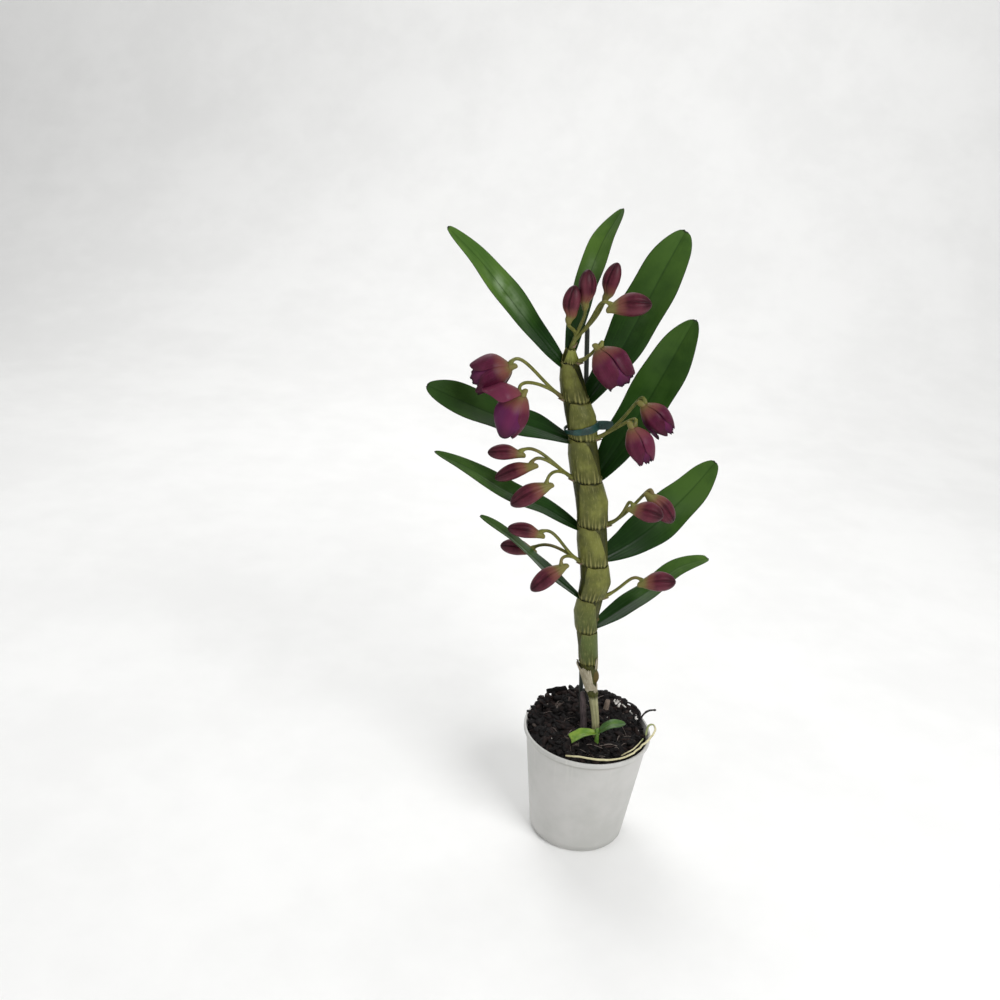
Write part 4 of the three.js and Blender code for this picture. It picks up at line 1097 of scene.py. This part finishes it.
painted_highlight = mix(tree, times(tree, highlight_band, highlight_patches), dark_veins, "a3b598")
light_veins = mix(tree, times(tree, veins["Light"], times(tree, clear, 0.16)), painted_highlight, "44702c")
# Painted shade: the groove of the midrib is darkened, on the upper skin only.
midrib_shade = times(tree, ramp(tree, edge, 0.07, 0.0), maths(tree, "SUBTRACT", 1.0, under))
midrib_shaded = tint(tree, light_veins, "112b0a", midrib_shade, 0.5)
basal = tint(tree, midrib_shaded, "102608", ramp(tree, reach, 0.22, 0.0), 0.35)
pale_under = tint(tree, basal, "4d6b3c", under, 0.45)
rimmed = tint(tree, pale_under, "152410", ramp(tree, edge, 0.945, 0.985), 0.8)
tipped = tint(tree, rimmed, "14150a", ramp(tree, reach, 0.986, 0.997), 0.8)
scars = node(tree, "TexVoronoi", {"Vector": place, "Scale": 38.0}, feature="F1")
few = ramp(tree, noise(tree, place, 11.0, 1.0), 0.56, 0.62)
scar = times(tree, ramp(tree, scars.outputs["Distance"], 0.075, 0.045), few)
scarred = tint(tree, tipped, "12230c", scar, 0.8)
tree.links.new(scarred, shader.inputs["Base Color"])
dust = noise(tree, place, 70.0, 1.0, 0.5)
gloss = plus(tree, times(tree, dust, 0.2), plus(tree, times(tree, under, 0.15), 0.26))
dull_tip = times(tree, ramp(tree, reach, 0.5, 0.85), 0.3)
tree.links.new(maths(tree, "ADD", gloss, dull_tip, clamp=True), shader.inputs["Roughness"])
bump(tree, shader, times(tree, veins["Fac"], clear), 0.15, 0.0004)

# %% All nine leaves
LEAF_SUNK = 2.5  # how deep a leaf's base sits in the sheath
for number, (ring, above_ring, length, width, widest, azimuths, rises, rolls) in LEAVES.items():
    centre, radius = ring_place(ring)
    start = centre + heading(azimuths[0], 0.0) * (radius - LEAF_SUNK) + [0, 0, above_ring]
    corners = midrib_points(start, length, azimuths, rises)
    skins = leaf_sheets(corners, length, width, widest, rolls, wave=0.035 * width, seed=number * 1.7,
                        blunt=1.3 if number == 1 else 2.4, age=LEAF_AGE[number])
    make_piece(f"leaf_{number}_blade", skins, leaf_finish, [f"leaf_{number}"])

# %% [markdown]
# ## The young shoot at the foot
# A small new growth stands in the bark: one leaf that was cut short, bright yellow-green, and one small
# darker leaf. Both use the same leaf formula, with a square end for the cut one.

# %% The young shoot
KEIKI_STEM = np.array([[7, -20, 74], [6.5, -17.5, 92], [6.3, -17, 95]], float)


def keiki_sheets():
    """A short tapering stem and two small leaves that rise from its middle."""
    line = curve_at(KEIKI_STEM, np.linspace(0, 1, 20))
    stem = tube(line, np.linspace(1.7, 1.2, 20), 14, under=0.0, age=0.55, reach=0.1)
    cut_leaf = leaf_sheets(midrib_points(KEIKI_STEM[1], 20, [190, 192], [-4, -32]), 20, 9, 0.85, [-14, -14],
                           wave=0.15, seed=1.0, rows=40, columns=21, cut=True, notch=0.4, fold=0.2, age=1.0)
    small_leaf = leaf_sheets(midrib_points(KEIKI_STEM[1], 22, [5, 14], [40, 4]), 22, 9, 0.45, [6, 6],
                             wave=0.2, seed=2.0, rows=40, columns=21, notch=0.2, age=0.3)
    return [stem, *cut_leaf, *small_leaf]


keiki_finish, tree, shader, place, uv = start_material("shoot_skin", 0.4)
spot = node(tree, "SeparateXYZ", {0: uv})
edge = maths(tree, "ABSOLUTE", maths(tree, "SUBTRACT", times(tree, spot.outputs["X"], 2.0), 1.0))
fresh = blotched(tree, place, 140.0, "557a1f", "7c9630")
grown = blotched(tree, place, 140.0, "2a4e1a", "456829")
both = mix(tree, ramp(tree, mark(tree, "age"), 0.3, 0.95), grown, fresh)
veins = fibres(tree, uv, 14.0, 1.2)
veined = tint(tree, both, "9db85a", veins["Light"], 0.5)
rimmed = tint(tree, veined, "27451a", ramp(tree, edge, 0.86, 0.97), 0.6)
tree.links.new(rimmed, shader.inputs["Base Color"])
bump(tree, shader, veins["Fac"], 0.3, 0.0004)
make_piece("young_shoot", keiki_sheets(), keiki_finish, ["keiki"])

# %% [markdown]
# ## Flowers
# A closed bud is three sepals wrapped round the rest: the two side sepals run back under the stalk into a
# blunt spur. Lofting between named sections gives that shape: each has a place along the bud, a drop below
# its axis and a radius, and they are read from one smooth curve. Three furrows follow the seams of the
# sepals, and each sepal carries a low keel. Three upright buds of the top spray sit straight on their
# stems, with hardly any spur.

# %% Flower frames and bodies
SPRAYS = {  # ring, azimuth, lift, then for each flower: neck from the ring, azimuth, rise, length, width
    1: (3, 0, 35, [((32, -8, 20), 0, 5, 22, 13)]),
    2: (4, 205, 35, [((-37, -8, 21), 185, 4, 22, 10), ((-42, 11, 0), 176, -3, 22, 11),
                     ((-21, -16, 3), 190, -46, 27, 12)]),
    3: (5, -5, 35, [((24, -16, 22), -10, -11, 20, 13), ((35, -6, 28), 5, -49, 25, 13)]),
    4: (6, 205, 35, [((-44, -8, 17), 185, -6, 21, 10), ((-36, -14, 12), 180, -30, 26, 10),
                     ((-25, -20, 2), 190, -36, 27, 12.5)]),
    5: (7, -10, 35, [((35, -12, 31), 0, -45, 26, 15.5), ((30, -22, 19), -10, -66, 26, 16.5)]),
    6: (8, 200, 35, [((-42, -18, 24), 182, -34, 27, 19.5), ((-34, -26, 9), 195, -74, 29, 20)]),
    7: (9, -20, 35, [((17, -16, 16), -10, -52, 27, 22)]),
    8: (10, 10, 78, [((-3, -8, 20), 10, 84, 21, 10.5), ((7, -2, 28), 190, 87, 22, 11),
                     ((18, 5, 33), 0, 76, 22, 10.5), ((22, -12, 32), 0, 6, 24, 14)]),
}
UPRIGHT, UPRIGHT_SPUR = ["8a", "8b", "8c"], 0.3
PLAIN = {"margin": 0.0, "role": 0.0, "inside": 0.0, "pale": 0.0}  # the marks of a body, which is no blade


def flower_frame(ring, flower):
    """Neck, axis out of the flower, side, and back: the upper side, away from the spur."""
    at, azimuth, rise = flower[:3]
    axis = heading(azimuth, rise)
    side = unit(np.cross(axis, [0.0, 0.0, 1.0]))
    return ring_place(ring)[0] + np.array(at, float), axis, side, np.cross(side, axis)


def in_frame(frame_of, x, y, z):
    """From the flower's own frame to the part's: x to its back, y to its side and z along its axis."""
    neck, axis, side, back = frame_of
    return neck + x[..., None] * back + y[..., None] * side + z[..., None] * axis


def body_sheet(frame_of, length, width, furrow=1.0, spur=1.0, rows=64, columns=73, **marks):
    """The wrapped body: drop and radius from a smooth curve through the named sections, then a furrow at
    the three seams (a narrow dip where the cosine of 1.5 turns is 0) and a keel half-way between them. Wide
    flowers have a bigger spur. The share spur scales its drop, and the share furrow the depth of the
    furrows."""
    half = width / 2
    big = np.clip(width / 12.5, 0.95, 1.2)
    sections = [  # drop below the axis, place along it, radius, depth of the furrows
        [-2.9 * big * spur, -3.4, 0.3, 0.0], [-2.9 * big * spur, -3.2, 1.0, 0.0],
        [-2.7 * big * spur, -2.5, 1.7 * big, 0.01], [-2.0 * big * spur, -0.5, 2.4 * big, 0.02],
        [-1.35, 0.1 * length, 0.58 * half, 0.05], [-0.3, 0.3 * length, 0.88 * half, 0.08],
        [0.0, 0.52 * length, half, 0.1], [0.0, 0.76 * length, 0.84 * half, 0.1],
        [0.0, 0.92 * length, 0.5 * half, 0.08], [0.0, 0.985 * length, 0.2 * half, 0.0],
        [0.0, length, 0.02, 0.0]]
    v = np.linspace(0, 1, rows)[:, None]
    drop, along, radius, depth = np.moveaxis(curve_at(sections, v), -1, 0)
    angle = np.linspace(0, 2 * np.pi, columns)[None]
    seam = np.abs(np.cos(1.5 * angle))
    relief = 2.4 * np.exp(-(seam / 0.22) ** 2) - 0.55 * seam**4
    shaped = np.maximum(radius, 0.02) * (1 - furrow * depth * relief)
    points = in_frame(frame_of, drop + shaped * np.cos(angle), shaped * np.sin(angle), along + 0 * angle)
    points[:, -1] = points[:, 0]
    points[0], points[-1] = points[0].mean(0), points[-1].mean(0)
    reach = np.clip((along + 5) / (length + 5), 0, 1) + 0 * angle
    return sheet(points, along=reach, seam=1 - smoothstep(seam + 0 * v, 0.0, 0.3), keel=seam**6 + 0 * v,
                 reach=reach, **marks)


print("sprays:", len(SPRAYS), "flowers:", sum(len(s[3]) for s in SPRAYS.values()))

# %% [markdown]
# A half-open flower keeps the wrapped body inside. Round it stand three sepals, and between them three
# petals whose ends are frilled and nearly black. Each is a cupped blade: it starts on a small ring at the
# neck, swells, and draws in to the mouth by a share of its own. One number more tilts it off the flower,
# about its foot. Angles are in degrees, and the other numbers are shares of the flower's length or width.

# %% Petals
SEPAL = {"half": 60, "tip": 32, "radius": 0.5, "length": 0.97, "close": 0.5, "tilt": 0, "frill": 0,
         "blunt": 0.2, "pale": 0.0}
PETAL = {"half": 58, "tip": 48, "radius": 0.42, "length": 1.0, "close": 0.5, "tilt": 0, "frill": 1,
         "blunt": 0.1, "pale": 0.0}


def petal_sheets(frame_of, turn, length, width, shape, role, rows=44, columns=33, thick=0.8):
    """A cupped blade round the flower's axis. Its radius follows a sine to half its length, then runs to
    its share close at the mouth. Its half angle shrinks from half to tip by the fifth power of its length,
    its end is rounded by blunt times the square of the place across, and frill adds fast waves to the end.
    The whole blade turns by tilt degrees about its foot, away from the axis, and last it is set round the
    axis at its turn."""
    s = np.linspace(0, 1, rows)[:, None]
    t = np.sin(np.linspace(-np.pi / 2, np.pi / 2, columns))[None]
    long, frill = length * shape["length"], shape["frill"]
    lean = radians(shape["tilt"])

    def skin(offset):
        """The blade's middle surface, moved out by offset."""
        grown = 0.06 + 0.94 * s
        swell = np.where(grown < 0.5, np.sin(np.pi * np.minimum(grown, 0.5)) ** 0.8,
                         1 + (shape["close"] - 1) * (2 * np.maximum(grown, 0.5) - 1) ** 1.9)
        spread = np.radians(t * (shape["half"] + (shape["tip"] - shape["half"]) * s**5))
        keel = 0.35 * np.exp(-(t / 0.16) ** 2) * np.sin(np.pi * s) * (1 - frill * 0.6)
        out = width * shape["radius"] * swell * (1 + 0.06 * t) + keel + offset
        out = out + frill * (0.3 * np.sin(11 * t + turn) + 0.2 * np.sin(27 * t)) * s**6
        end = long * (1 - shape["blunt"] * t**2 * s**2)
        fringe = 0.45 * np.sin(9 * t + turn) + 0.55 * np.abs(np.sin(17 * t + turn)) - 0.3
        end = end + frill * fringe * s**6
        foot = 0.04 * long
        up, aside, z = out * np.cos(spread), out * np.sin(spread), foot + (end - foot) * s
        up, z = up * cos(lean) + z * sin(lean), z * cos(lean) - up * sin(lean)
        a = radians(turn)
        sag = -1.5 * np.exp(-(s / 0.16) ** 2)
        return in_frame(frame_of, up * cos(a) - aside * sin(a) + sag, up * sin(a) + aside * cos(a), z)

    apart = 0.5 * thick * np.sqrt(1 - t**8) * np.sqrt(np.clip(1 - (2 * s - 1) ** 16, 0, 1))
    margin = np.maximum(np.abs(t) ** 3 * s, s**6) + 0 * s
    shared = {"across": (t + 1) / 2, "along": s, "reach": 0.25 + 0.75 * s, "margin": margin, "role": role,
              "seam": 0.0, "keel": 0.6 * np.exp(-(t / 0.2) ** 2) + 0 * s, "pale": shape["pale"]}
    return [sheet(skin(apart), inside=0.0, **shared), flipped(sheet(skin(-apart), inside=1.0, **shared))]


# %% [markdown]
# Each half-open flower has its own habit. The top one is a full egg with a wide frilled mouth. The two on
# the right are nearly closed. On the left one lifts a hood over its mouth, and the other has thrown its
# pale upper sepal right back, so that a smooth purple petal shows.

# %% Half-open flowers
BLOOMS = {  # changes for all blades, then for the sepal at 0, 120 or 240 or the petal at 60, 180 or 300
    "5a": {"all": {"close": 0.5, "tip": 40}, 180: {"tilt": 10, "length": 0.97}, 0: {"pale": 0.1}},
    "5b": {"all": {"close": 0.56, "tip": 42}, 0: {"pale": 0.6, "half": 64}, 120: {"pale": 0.2},
           60: {"length": 0.96}},
    "6a": {"all": {"close": 0.82}, 120: {"tilt": 3}, 60: {"length": 0.9},
           300: {"radius": 0.45, "length": 0.92},
           0: {"tilt": 9, "length": 0.88, "close": 0.8, "half": 70, "tip": 52, "blunt": 0.12,
               "pale": 0.25}},
    "6b": {"all": {"close": 0.62}, 240: {"turn": 212, "half": 52, "tip": 40, "radius": 0.5, "pale": 0.4},
           0: {"tilt": 47, "length": 0.72, "close": 1.1, "half": 80, "tip": 34, "radius": 0.52,
               "pale": 0.9},
           300: {"turn": 288, "radius": 0.53, "half": 80, "tip": 66, "close": 0.66, "frill": 0.1,
                 "blunt": 0.26}},
    "7a": {"all": {"close": 0.86, "tip": 50, "blunt": 0.1, "length": 0.93},
           0: {"pale": 0.15}, 120: {"pale": 0.3},
           60: {"length": 1.0, "radius": 0.45}, 180: {"length": 1.0, "radius": 0.45}, 300: {"length": 1.0}},
}


def bloom_sheets(frame_of, length, width, habit):
    """Body, petals and sepals of one half-open flower: the usual blade, changed by the flower's habit."""
    sheets = [body_sheet(frame_of, 0.66 * length, 0.56 * width, furrow=0.6, **{**PLAIN, "role": 0.5})]
    for k in range(6):
        usual = PETAL if k % 2 else SEPAL
        shape = {**usual, "turn": 60 * k, **habit["all"], **habit.get(60 * k, {})}
        sheets += petal_sheets(frame_of, shape["turn"], length, width, shape, role=float(k % 2))
    return sheets


# %% [markdown]
# Buds and blooms share one finish. The spur and the base are yellow-green to tan; the colour turns through
# rose to maroon and is darkest at the tip. Painted shade darkens the furrows and the inner face of each
# blade, inside the mouth. The keels are paler, fine lines run along every sepal, and the frilled rims of the
# inner petals are almost black. The bloom is waxy, so it has a low broad shine.

# %% The flower finish
def flower_finish(name, first, second, tip, rose, dark_rim):
    """Waxy petal colour: blotches and fine lines, then tints by the blade's role and keel, painted shade in
    the furrows at the seams, tints by the reach along the flower and at the rim, and painted shade inside
    the mouth."""
    made, tree, shader, place, uv = start_material(name, 0.42)
    reach, seam, keel = mark(tree, "reach"), mark(tree, "seam"), mark(tree, "keel")
    body = blotched(tree, place, 130.0, first, second)
    lines = fibres(tree, uv, 30.0, 1.5)
    lined = tint(tree, body, tip, lines["Dark"], 0.45)
    purple = tint(tree, lined, "571848", mark(tree, "role"), 0.75)
    lit = tint(tree, purple, rose, lines["Light"], 0.3)
    keeled = tint(tree, lit, rose, keel, 0.5)
    # Painted shade: the furrows at the seams of the sepals are darkened.
    furrow_shaded = tint(tree, keeled, tip, seam, 0.5)
    ended = tint(tree, furrow_shaded, tip, ramp(tree, reach, 0.7, 1.0), 0.6)
    wavy = plus(tree, reach, times(tree, lines["Fac"], 0.16))
    rosy = mix(tree, ramp(tree, wavy, 0.62, 0.42), ended, "6e4238")
    green = mix(tree, ramp(tree, wavy, 0.44, 0.28), rosy, "6f6a3a")
    rim = times(tree, ramp(tree, mark(tree, "margin"), 0.6, 0.98), mark(tree, "role"))
    rimmed = tint(tree, green, dark_rim, rim, 0.95)
    paled = tint(tree, rimmed, rose, mark(tree, "pale"), 0.7)
    # Painted shade: the inner face of every blade, inside the mouth, turns towards the dark tip colour.
    inner = tint(tree, paled, tip, mark(tree, "inside"), 0.55)
    tree.links.new(inner, shader.inputs["Base Color"])
    wax = plus(tree, times(tree, noise(tree, place, 260.0), 0.25), 0.3)
    tree.links.new(wax, shader.inputs["Roughness"])
    shader.inputs["Specular IOR Level"].default_value = 0.14
    shader.inputs["Subsurface Weight"].default_value = 0.05
    shader.inputs["Subsurface Radius"].default_value = (0.002, 0.0006, 0.0008)
    bump(tree, shader, plus(tree, lines["Fac"], times(tree, grain(tree, place, 1500.0), 0.3)), 0.3, 0.0003)
    return made


bud_finish = flower_finish("bud_wax", "3f141f", "54202d", "1d070d", "6e3843", "14060a")
bloom_finish = flower_finish("bloom_wax", "3f0b20", "4d132f", "210613", "6e2e45", "0c0307")

frames = {}
for number, (ring, _, _, flowers) in SPRAYS.items():
    for letter, flower in zip("abcd", flowers):
        key = f"{number}{letter}"
        frames[key] = flower_frame(ring, flower)
        length, width = flower[3:]
        if key in BLOOMS:
            make_piece(f"bloom_{key}_petals", bloom_sheets(frames[key], length, width, BLOOMS[key]),
                       bloom_finish, [f"bloom_{key}"])
        else:
            spur = UPRIGHT_SPUR if key in UPRIGHT else 1.0
            wrapped = body_sheet(frames[key], length, width, spur=spur, **PLAIN)
            make_piece(f"bud_{key}_sepals", [wrapped], bud_finish, [f"bud_{key}"])

# %% [markdown]
# ## The stalks
# Each spray stands on a short stout foot with a dry pinkish scale, and sends one thin stem to each flower.
# The stem rises, arches over the spur and joins the flower from above, or runs straight into an upright
# bud. A Bezier curve has just the right handles for that: one along the foot, the other along the flower's
# axis.

# %% Stalks
STALK = {"sunk": 2.2, "foot": 1.9, "fork": 7.0, "stem": 1.08, "ribs": 0.06}
SWAY = {"8c": 9.0, "8d": 11.0}  # two stems of the top spray bow out to the right, past the stake


def foot_scale(root, out):
    """The dry scale under a spray's foot: two skins, 0.3 mm apart and joined at their rims, that wrap its
    lower half and come to a point."""
    u = np.linspace(0, 1, 10)[:, None]
    v = np.linspace(-1, 1, 13)[None]
    side = unit(np.cross(out, [0.0, 0.0, 1.0]))
    up = np.cross(side, out)
    wrap = np.pi / 2 + 1.9 * v * (1 - 0.55 * u)
    wide = 2.05 + 0.25 * u
    outer = (root + out * (1.2 + 3.6 * u - 1.2 * v**2 * u)[..., None]
             - up * (wide * np.sin(wrap))[..., None] + side * (wide * np.cos(wrap))[..., None])
    inner = outer.copy()
    inner[1:-1, 1:-1] += up * 0.3
    return [sheet(outer, scale=1.0, reach=0.0), flipped(sheet(inner, scale=1.0, reach=0.0))]


def stalk_sheets(ring, azimuth, lift, keys, flowers, own_frames):
    """The foot as a tapering tube, then one tube along a cubic Bezier to each flower. Its last two handles
    lie behind the neck: over the flower's back for a hooked stem, in line with the axis for a straight one.
    The stems are a little three-ribbed and swell at their ends, where they join the foot and the flower."""
    centre, radius = ring_place(ring)
    out = heading(azimuth, lift)
    root = centre + heading(azimuth, 0.0) * (radius - STALK["sunk"])
    fork = root + STALK["fork"] * out
    t = np.linspace(0, 1, 14)
    foot_line = root + np.outer(t * (STALK["fork"] + 0.4), out)
    sheets = [tube(foot_line, STALK["foot"] - 0.6 * smoothstep(t, 0.1, 1.0), 16, reach=0.0, scale=0.0)]
    t = np.linspace(0, 1, 44)
    thick = STALK["stem"] + 0.25 * smoothstep(t, 0.12, 0.0) + 0.75 * smoothstep(t, 0.86, 1.0)
    ribs = 1 + STALK["ribs"] * np.cos(3 * np.linspace(0, 2 * np.pi, 15)[:-1])
    for key, flower, (neck, axis, _, back) in zip(keys, flowers, own_frames):
        reach = np.linalg.norm(neck - fork)
        sway = np.array([SWAY.get(key, 0.0), 0.0, 0.0])
        hook = [neck - 0.27 * reach * axis + 7.5 * back, neck + 0.02 * flower[3] * axis - 0.2 * back]
        straight = [neck - 0.4 * reach * axis, neck - 1.0 * axis - 0.5 * back]
        ends = straight if key in UPRIGHT else hook
        handles = [fork - 1.5 * out, fork + 0.45 * reach * out + sway, *ends]
        sheets.append(tube(bezier_at(handles, t), thick[:, None] * ribs, 14, reach=0.5, scale=0.0))
    return sheets + foot_scale(root, out)


stalk_finish, tree, shader, place, uv = start_material("stalk_skin", 0.45)
shader.inputs["Specular IOR Level"].default_value = 0.25
stem_lines = fibres(tree, uv, 9.0, 5.0)
stem = blotched(tree, place, 140.0, "575a27", "76763a")
dull = tint(tree, stem, "302e15", stem_lines["Dark"], 0.7)
flush = ramp(tree, noise(tree, place, 60.0, 2.0), 0.55, 0.75)
flushed = tint(tree, dull, "6b4a3c", flush, 0.5)
scaled = mix(tree, mark(tree, "scale"), flushed, "86725c")
tree.links.new(scaled, shader.inputs["Base Color"])
bump(tree, shader, stem_lines["Fac"], 0.4, 0.0005)

for number, (ring, azimuth, lift, flowers) in SPRAYS.items():
    keys = [f"{number}{letter}" for letter, _ in zip("abcd", flowers)]
    skins = stalk_sheets(ring, azimuth, lift, keys, flowers, [frames[key] for key in keys])
    make_piece(f"stalk_{number}_stems", skins, stalk_finish, [f"stalk_{number}"])

# %% [markdown]
# ## Stake, tie and roots
# The stake is a thin dark rod of coated cane. The tie is a soft teal band: it goes round cane and stake,
# and its ends are pinched into a tongue at the right. The tie's path is the hoop that the solid has: two
# arcs joined by straight runs, and the band's cross-section is a flat rounded strip carried round it.

# %% The stake
STAKE_FOOT, STAKE_TOP, STAKE_RADIUS = np.array([0, 13.6, 30.0]), np.array([-31, 13.6, 370.0]), 1.5
t = np.linspace(0, 1, 90)
stake_line = np.outer(1 - t, STAKE_FOOT) + np.outer(t, STAKE_TOP)
around = np.linspace(0, 2 * np.pi, 25)[:-1]
uneven = 1 + 0.04 * np.sin(40 * t)[:, None] * np.cos(around) + 0.03 * np.cos(6 * around)
rounded = np.sqrt(1 - 0.75 * smoothstep(t, 0.993, 1.0))[:, None]
stake_skin = tube(stake_line, STAKE_RADIUS * uneven * rounded, len(around))

stake_finish, tree, shader, place, uv = start_material("coated_rod", 0.45)
coat = blotched(tree, place, 60.0, "151b17", "222a22")
scratches = fibres(tree, uv, 18.0, 14.0)
tree.links.new(tint(tree, coat, "3c443a", scratches["Light"], 0.5), shader.inputs["Base Color"])
bump(tree, shader, scratches["Fac"], 0.3, 0.0004)
make_piece("stake_rod", [stake_skin], stake_finish, ["stake"])

# %% The tie
TIE = {"width": 4.0, "thick": 1.0, "slack": 0.15, "height": 307.0, "tilt": -14.0, "seat": 0.3,
       "tongue": 12.4, "tongue_thick": 1.3}


def hoop_line(count):
    """The band's middle line in its own flat plane, seen from the cane's centre: the arc round the cane,
    then straight runs to and from the arc round the stake, with points spread evenly along it. Also the
    cane's centre and the radius of the larger arc."""
    x, y, r = cane_at(TIE["height"])
    share = (TIE["height"] - STAKE_FOOT[2]) / (STAKE_TOP[2] - STAKE_FOOT[2])
    post = (1 - share) * STAKE_FOOT + share * STAKE_TOP
    near = r + TIE["slack"] + TIE["seat"] + TIE["thick"] / 2
    far = STAKE_RADIUS + TIE["seat"] + TIE["thick"] / 2
    offset = post[:2] - [x, y]
    towards = np.arctan2(offset[1], offset[0])
    open_by = np.arccos((near - far) / np.hypot(*offset))
    big = np.linspace(towards + open_by, towards - open_by + 2 * np.pi, 60)
    small = np.linspace(towards - open_by, towards + open_by, 20)
    line = np.concatenate([near * np.stack([np.cos(big), np.sin(big)], -1),
                           offset + far * np.stack([np.cos(small), np.sin(small)], -1)])
    line = np.vstack([line, line[:1]])
    run = np.concatenate([[0], np.cumsum(np.linalg.norm(np.diff(line, axis=0), axis=1))])
    place = np.linspace(0, run[-1], count)
    return np.stack([np.interp(place, run, line[:, k]) for k in (0, 1)], -1), (x, y, near)


def strip(line, lean, wide, thick, closed):
    """A flat band along a level line: its section is a rounded oblong, thick across and wide upwards, whose
    upper edge leans out by lean for each millimetre up."""
    way = unit(np.gradient(line, axis=0))
    if closed:
        way[0] = way[-1] = unit(line[1] - line[-2])
    out = np.stack([way[:, 1], -way[:, 0]], -1)
    angle = np.linspace(0, 2 * np.pi, 25)
    px = 0.5 * thick * np.sign(np.cos(angle)) * np.abs(np.cos(angle)) ** 0.5
    pz = 0.5 * np.sign(np.sin(angle)) * np.abs(np.sin(angle)) ** 0.7
    height = wide[:, None] * pz
    across = px + lean[:, None] * height
    points = np.concatenate([line[:, None] + out[:, None] * across[..., None], height[..., None]], -1)
    points[:, -1] = points[:, 0]
    return points


def tie_sheets():
    """The hoop and the tongue, tilted about Y and moved to their height. The hoop is widest at the front
    right, where the ends are drawn together, and the tongue has a pole at each end."""
    line, (x, y, near) = hoop_line(161)
    turn = np.linspace(0, 2 * np.pi, len(line))
    front_right = 0.5 + 0.5 * np.cos(np.arctan2(line[:, 1], line[:, 0]) + 0.75)
    wide = TIE["width"] * (0.5 + 0.75 * front_right**1.5)
    hoop = strip(line, 0.16 * np.sin(turn + 0.8), wide, TIE["thick"], True)
    hoop[-1] = hoop[0]
    s = np.linspace(0, 1, 30)
    run = np.stack([near - 3.2 + TIE["tongue"] * s, 1.5 + 2.5 * s + 1.0 * np.sin(2.2 * s)], -1)
    wide = TIE["width"] * (1.35 + 0.25 * np.sin(np.pi * s))
    tongue = strip(run, 0.25 * s, wide, TIE["tongue_thick"], False)
    tongue[..., 2] -= 0.6 + 2.6 * s[:, None]
    poles = [np.broadcast_to(tongue[k].mean(0), tongue[k].shape)[None] for k in (0, -1)]
    tongue = np.concatenate([poles[0], tongue, poles[1]])
    a = radians(TIE["tilt"])
    tilt = np.array([[cos(a), 0, sin(a)], [0, 1, 0], [-sin(a), 0, cos(a)]])
    base = np.array([x, y, TIE["height"]])
    return [flipped(sheet(grid @ tilt.T + base)) for grid in (hoop, tongue)]


tie_finish, tree, shader, place, uv = start_material("tie_band", 0.45)
dye = blotched(tree, place, 160.0, "0a2a25", "113e38")
ribs = fibres(tree, uv, 10.0, 60.0)
tree.links.new(tint(tree, dye, "061a17", ribs["Dark"], 0.6), shader.inputs["Base Color"])
bump(tree, shader, ribs["Fac"], 0.5, 0.0005)
make_piece("tie_band_loop", tie_sheets(), tie_finish, ["tie"])

# %% [markdown]
# Two roots show, each with a second strand. The pale one lies inside the front of the rim, crosses it and
# curls over on the right: it has the dull silvery skin of an orchid root, with a greener growing end. The
# thin black one stands up from the bark at the back, and its second strand runs along the rim.

# %% The roots
PALE_ROOT = [[-14, -35, 82], [-6, -37, 84], [9, -38.5, 84.6], [22, -35.5, 85], [32, -28, 86],
             [40, -16, 86.6], [46, -5, 86.4], [48, 2, 87.2], [46.6, 5, 88.8], [43.6, 4, 88.2],
             [42, 0, 85.6], [41.4, -2, 83.6]]
THIN_ROOT = [[24, -27, 81.5], [27, -27, 84.4], [33, -21, 85], [38, -12, 85.6], [40, -5, 83]]
DARK_ROOT = [[36, 15, 78], [38, 17, 84], [40, 18, 88], [44, 20, 90.5], [49, 22, 90.5]]
RIM_ROOT = [[38, 17, 84], [37.4, 21, 87.4], [34.5, 25.5, 88.8], [30, 29, 89.4], [25, 31, 88]]


def root_sheet(points, radius, sides, count, seed, bend=0.35):
    """A root: a tube along its path, made crooked by three fields of lumps, whose thickness swells and
    shrinks by two waves."""
    t = np.linspace(0, 1, count)
    line = curve_at(points, t)
    crooked = [share * lumps(line, 9, seed + k) for k, share in enumerate((1.0, 1.0, 0.5))]
    uneven = 1 + 0.1 * np.sin(17 * t + seed) + 0.06 * np.sin(41 * t)
    rounded = np.sqrt(1 - 0.6 * smoothstep(t, 0.96, 1))
    return tube(line + bend * np.stack(crooked, -1), radius * uneven * rounded, sides)


def root_finish(name, first, second, lines, tip):
    """Root skin: blotched, with fine lines, and another colour towards its growing end."""
    made, tree, shader, place, uv = start_material(name, 0.7)
    spot = node(tree, "SeparateXYZ", {0: uv})
    skin = blotched(tree, place, 120.0, first, second)
    grown = fibres(tree, uv, 8.0, 12.0)
    lined = tint(tree, skin, lines, grown["Dark"], 0.6)
    grown_out = mix(tree, ramp(tree, spot.outputs["Y"], 0.62, 0.8), lined, tip)
    tree.links.new(grown_out, shader.inputs["Base Color"])
    bump(tree, shader, grown["Fac"], 0.4, 0.0005)
    return made


pale_strands = [root_sheet(PALE_ROOT, 0.7, 16, 150, 5), root_sheet(THIN_ROOT, 0.45, 12, 70, 6, 0.2)]
dark_strands = [root_sheet(DARK_ROOT, 0.75, 12, 60, 9), root_sheet(RIM_ROOT, 0.8, 12, 60, 4)]
make_piece("root_pale", pale_strands,
           root_finish("root_silver", "d6cfa8", "bdb58a", "6e6540", "8b9463"), ["aerial_root"])
make_piece("root_wiry", dark_strands,
           root_finish("root_black", "171214", "231c1c", "0b0808", "1a1412"), ["wiry_root"])

# %% [markdown]
# ## Last look at the sizes
# Last, the box round the dressed plant is measured. The dressed plant has to stay the size of the
# solids.

# %% Sizes and finish
low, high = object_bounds()
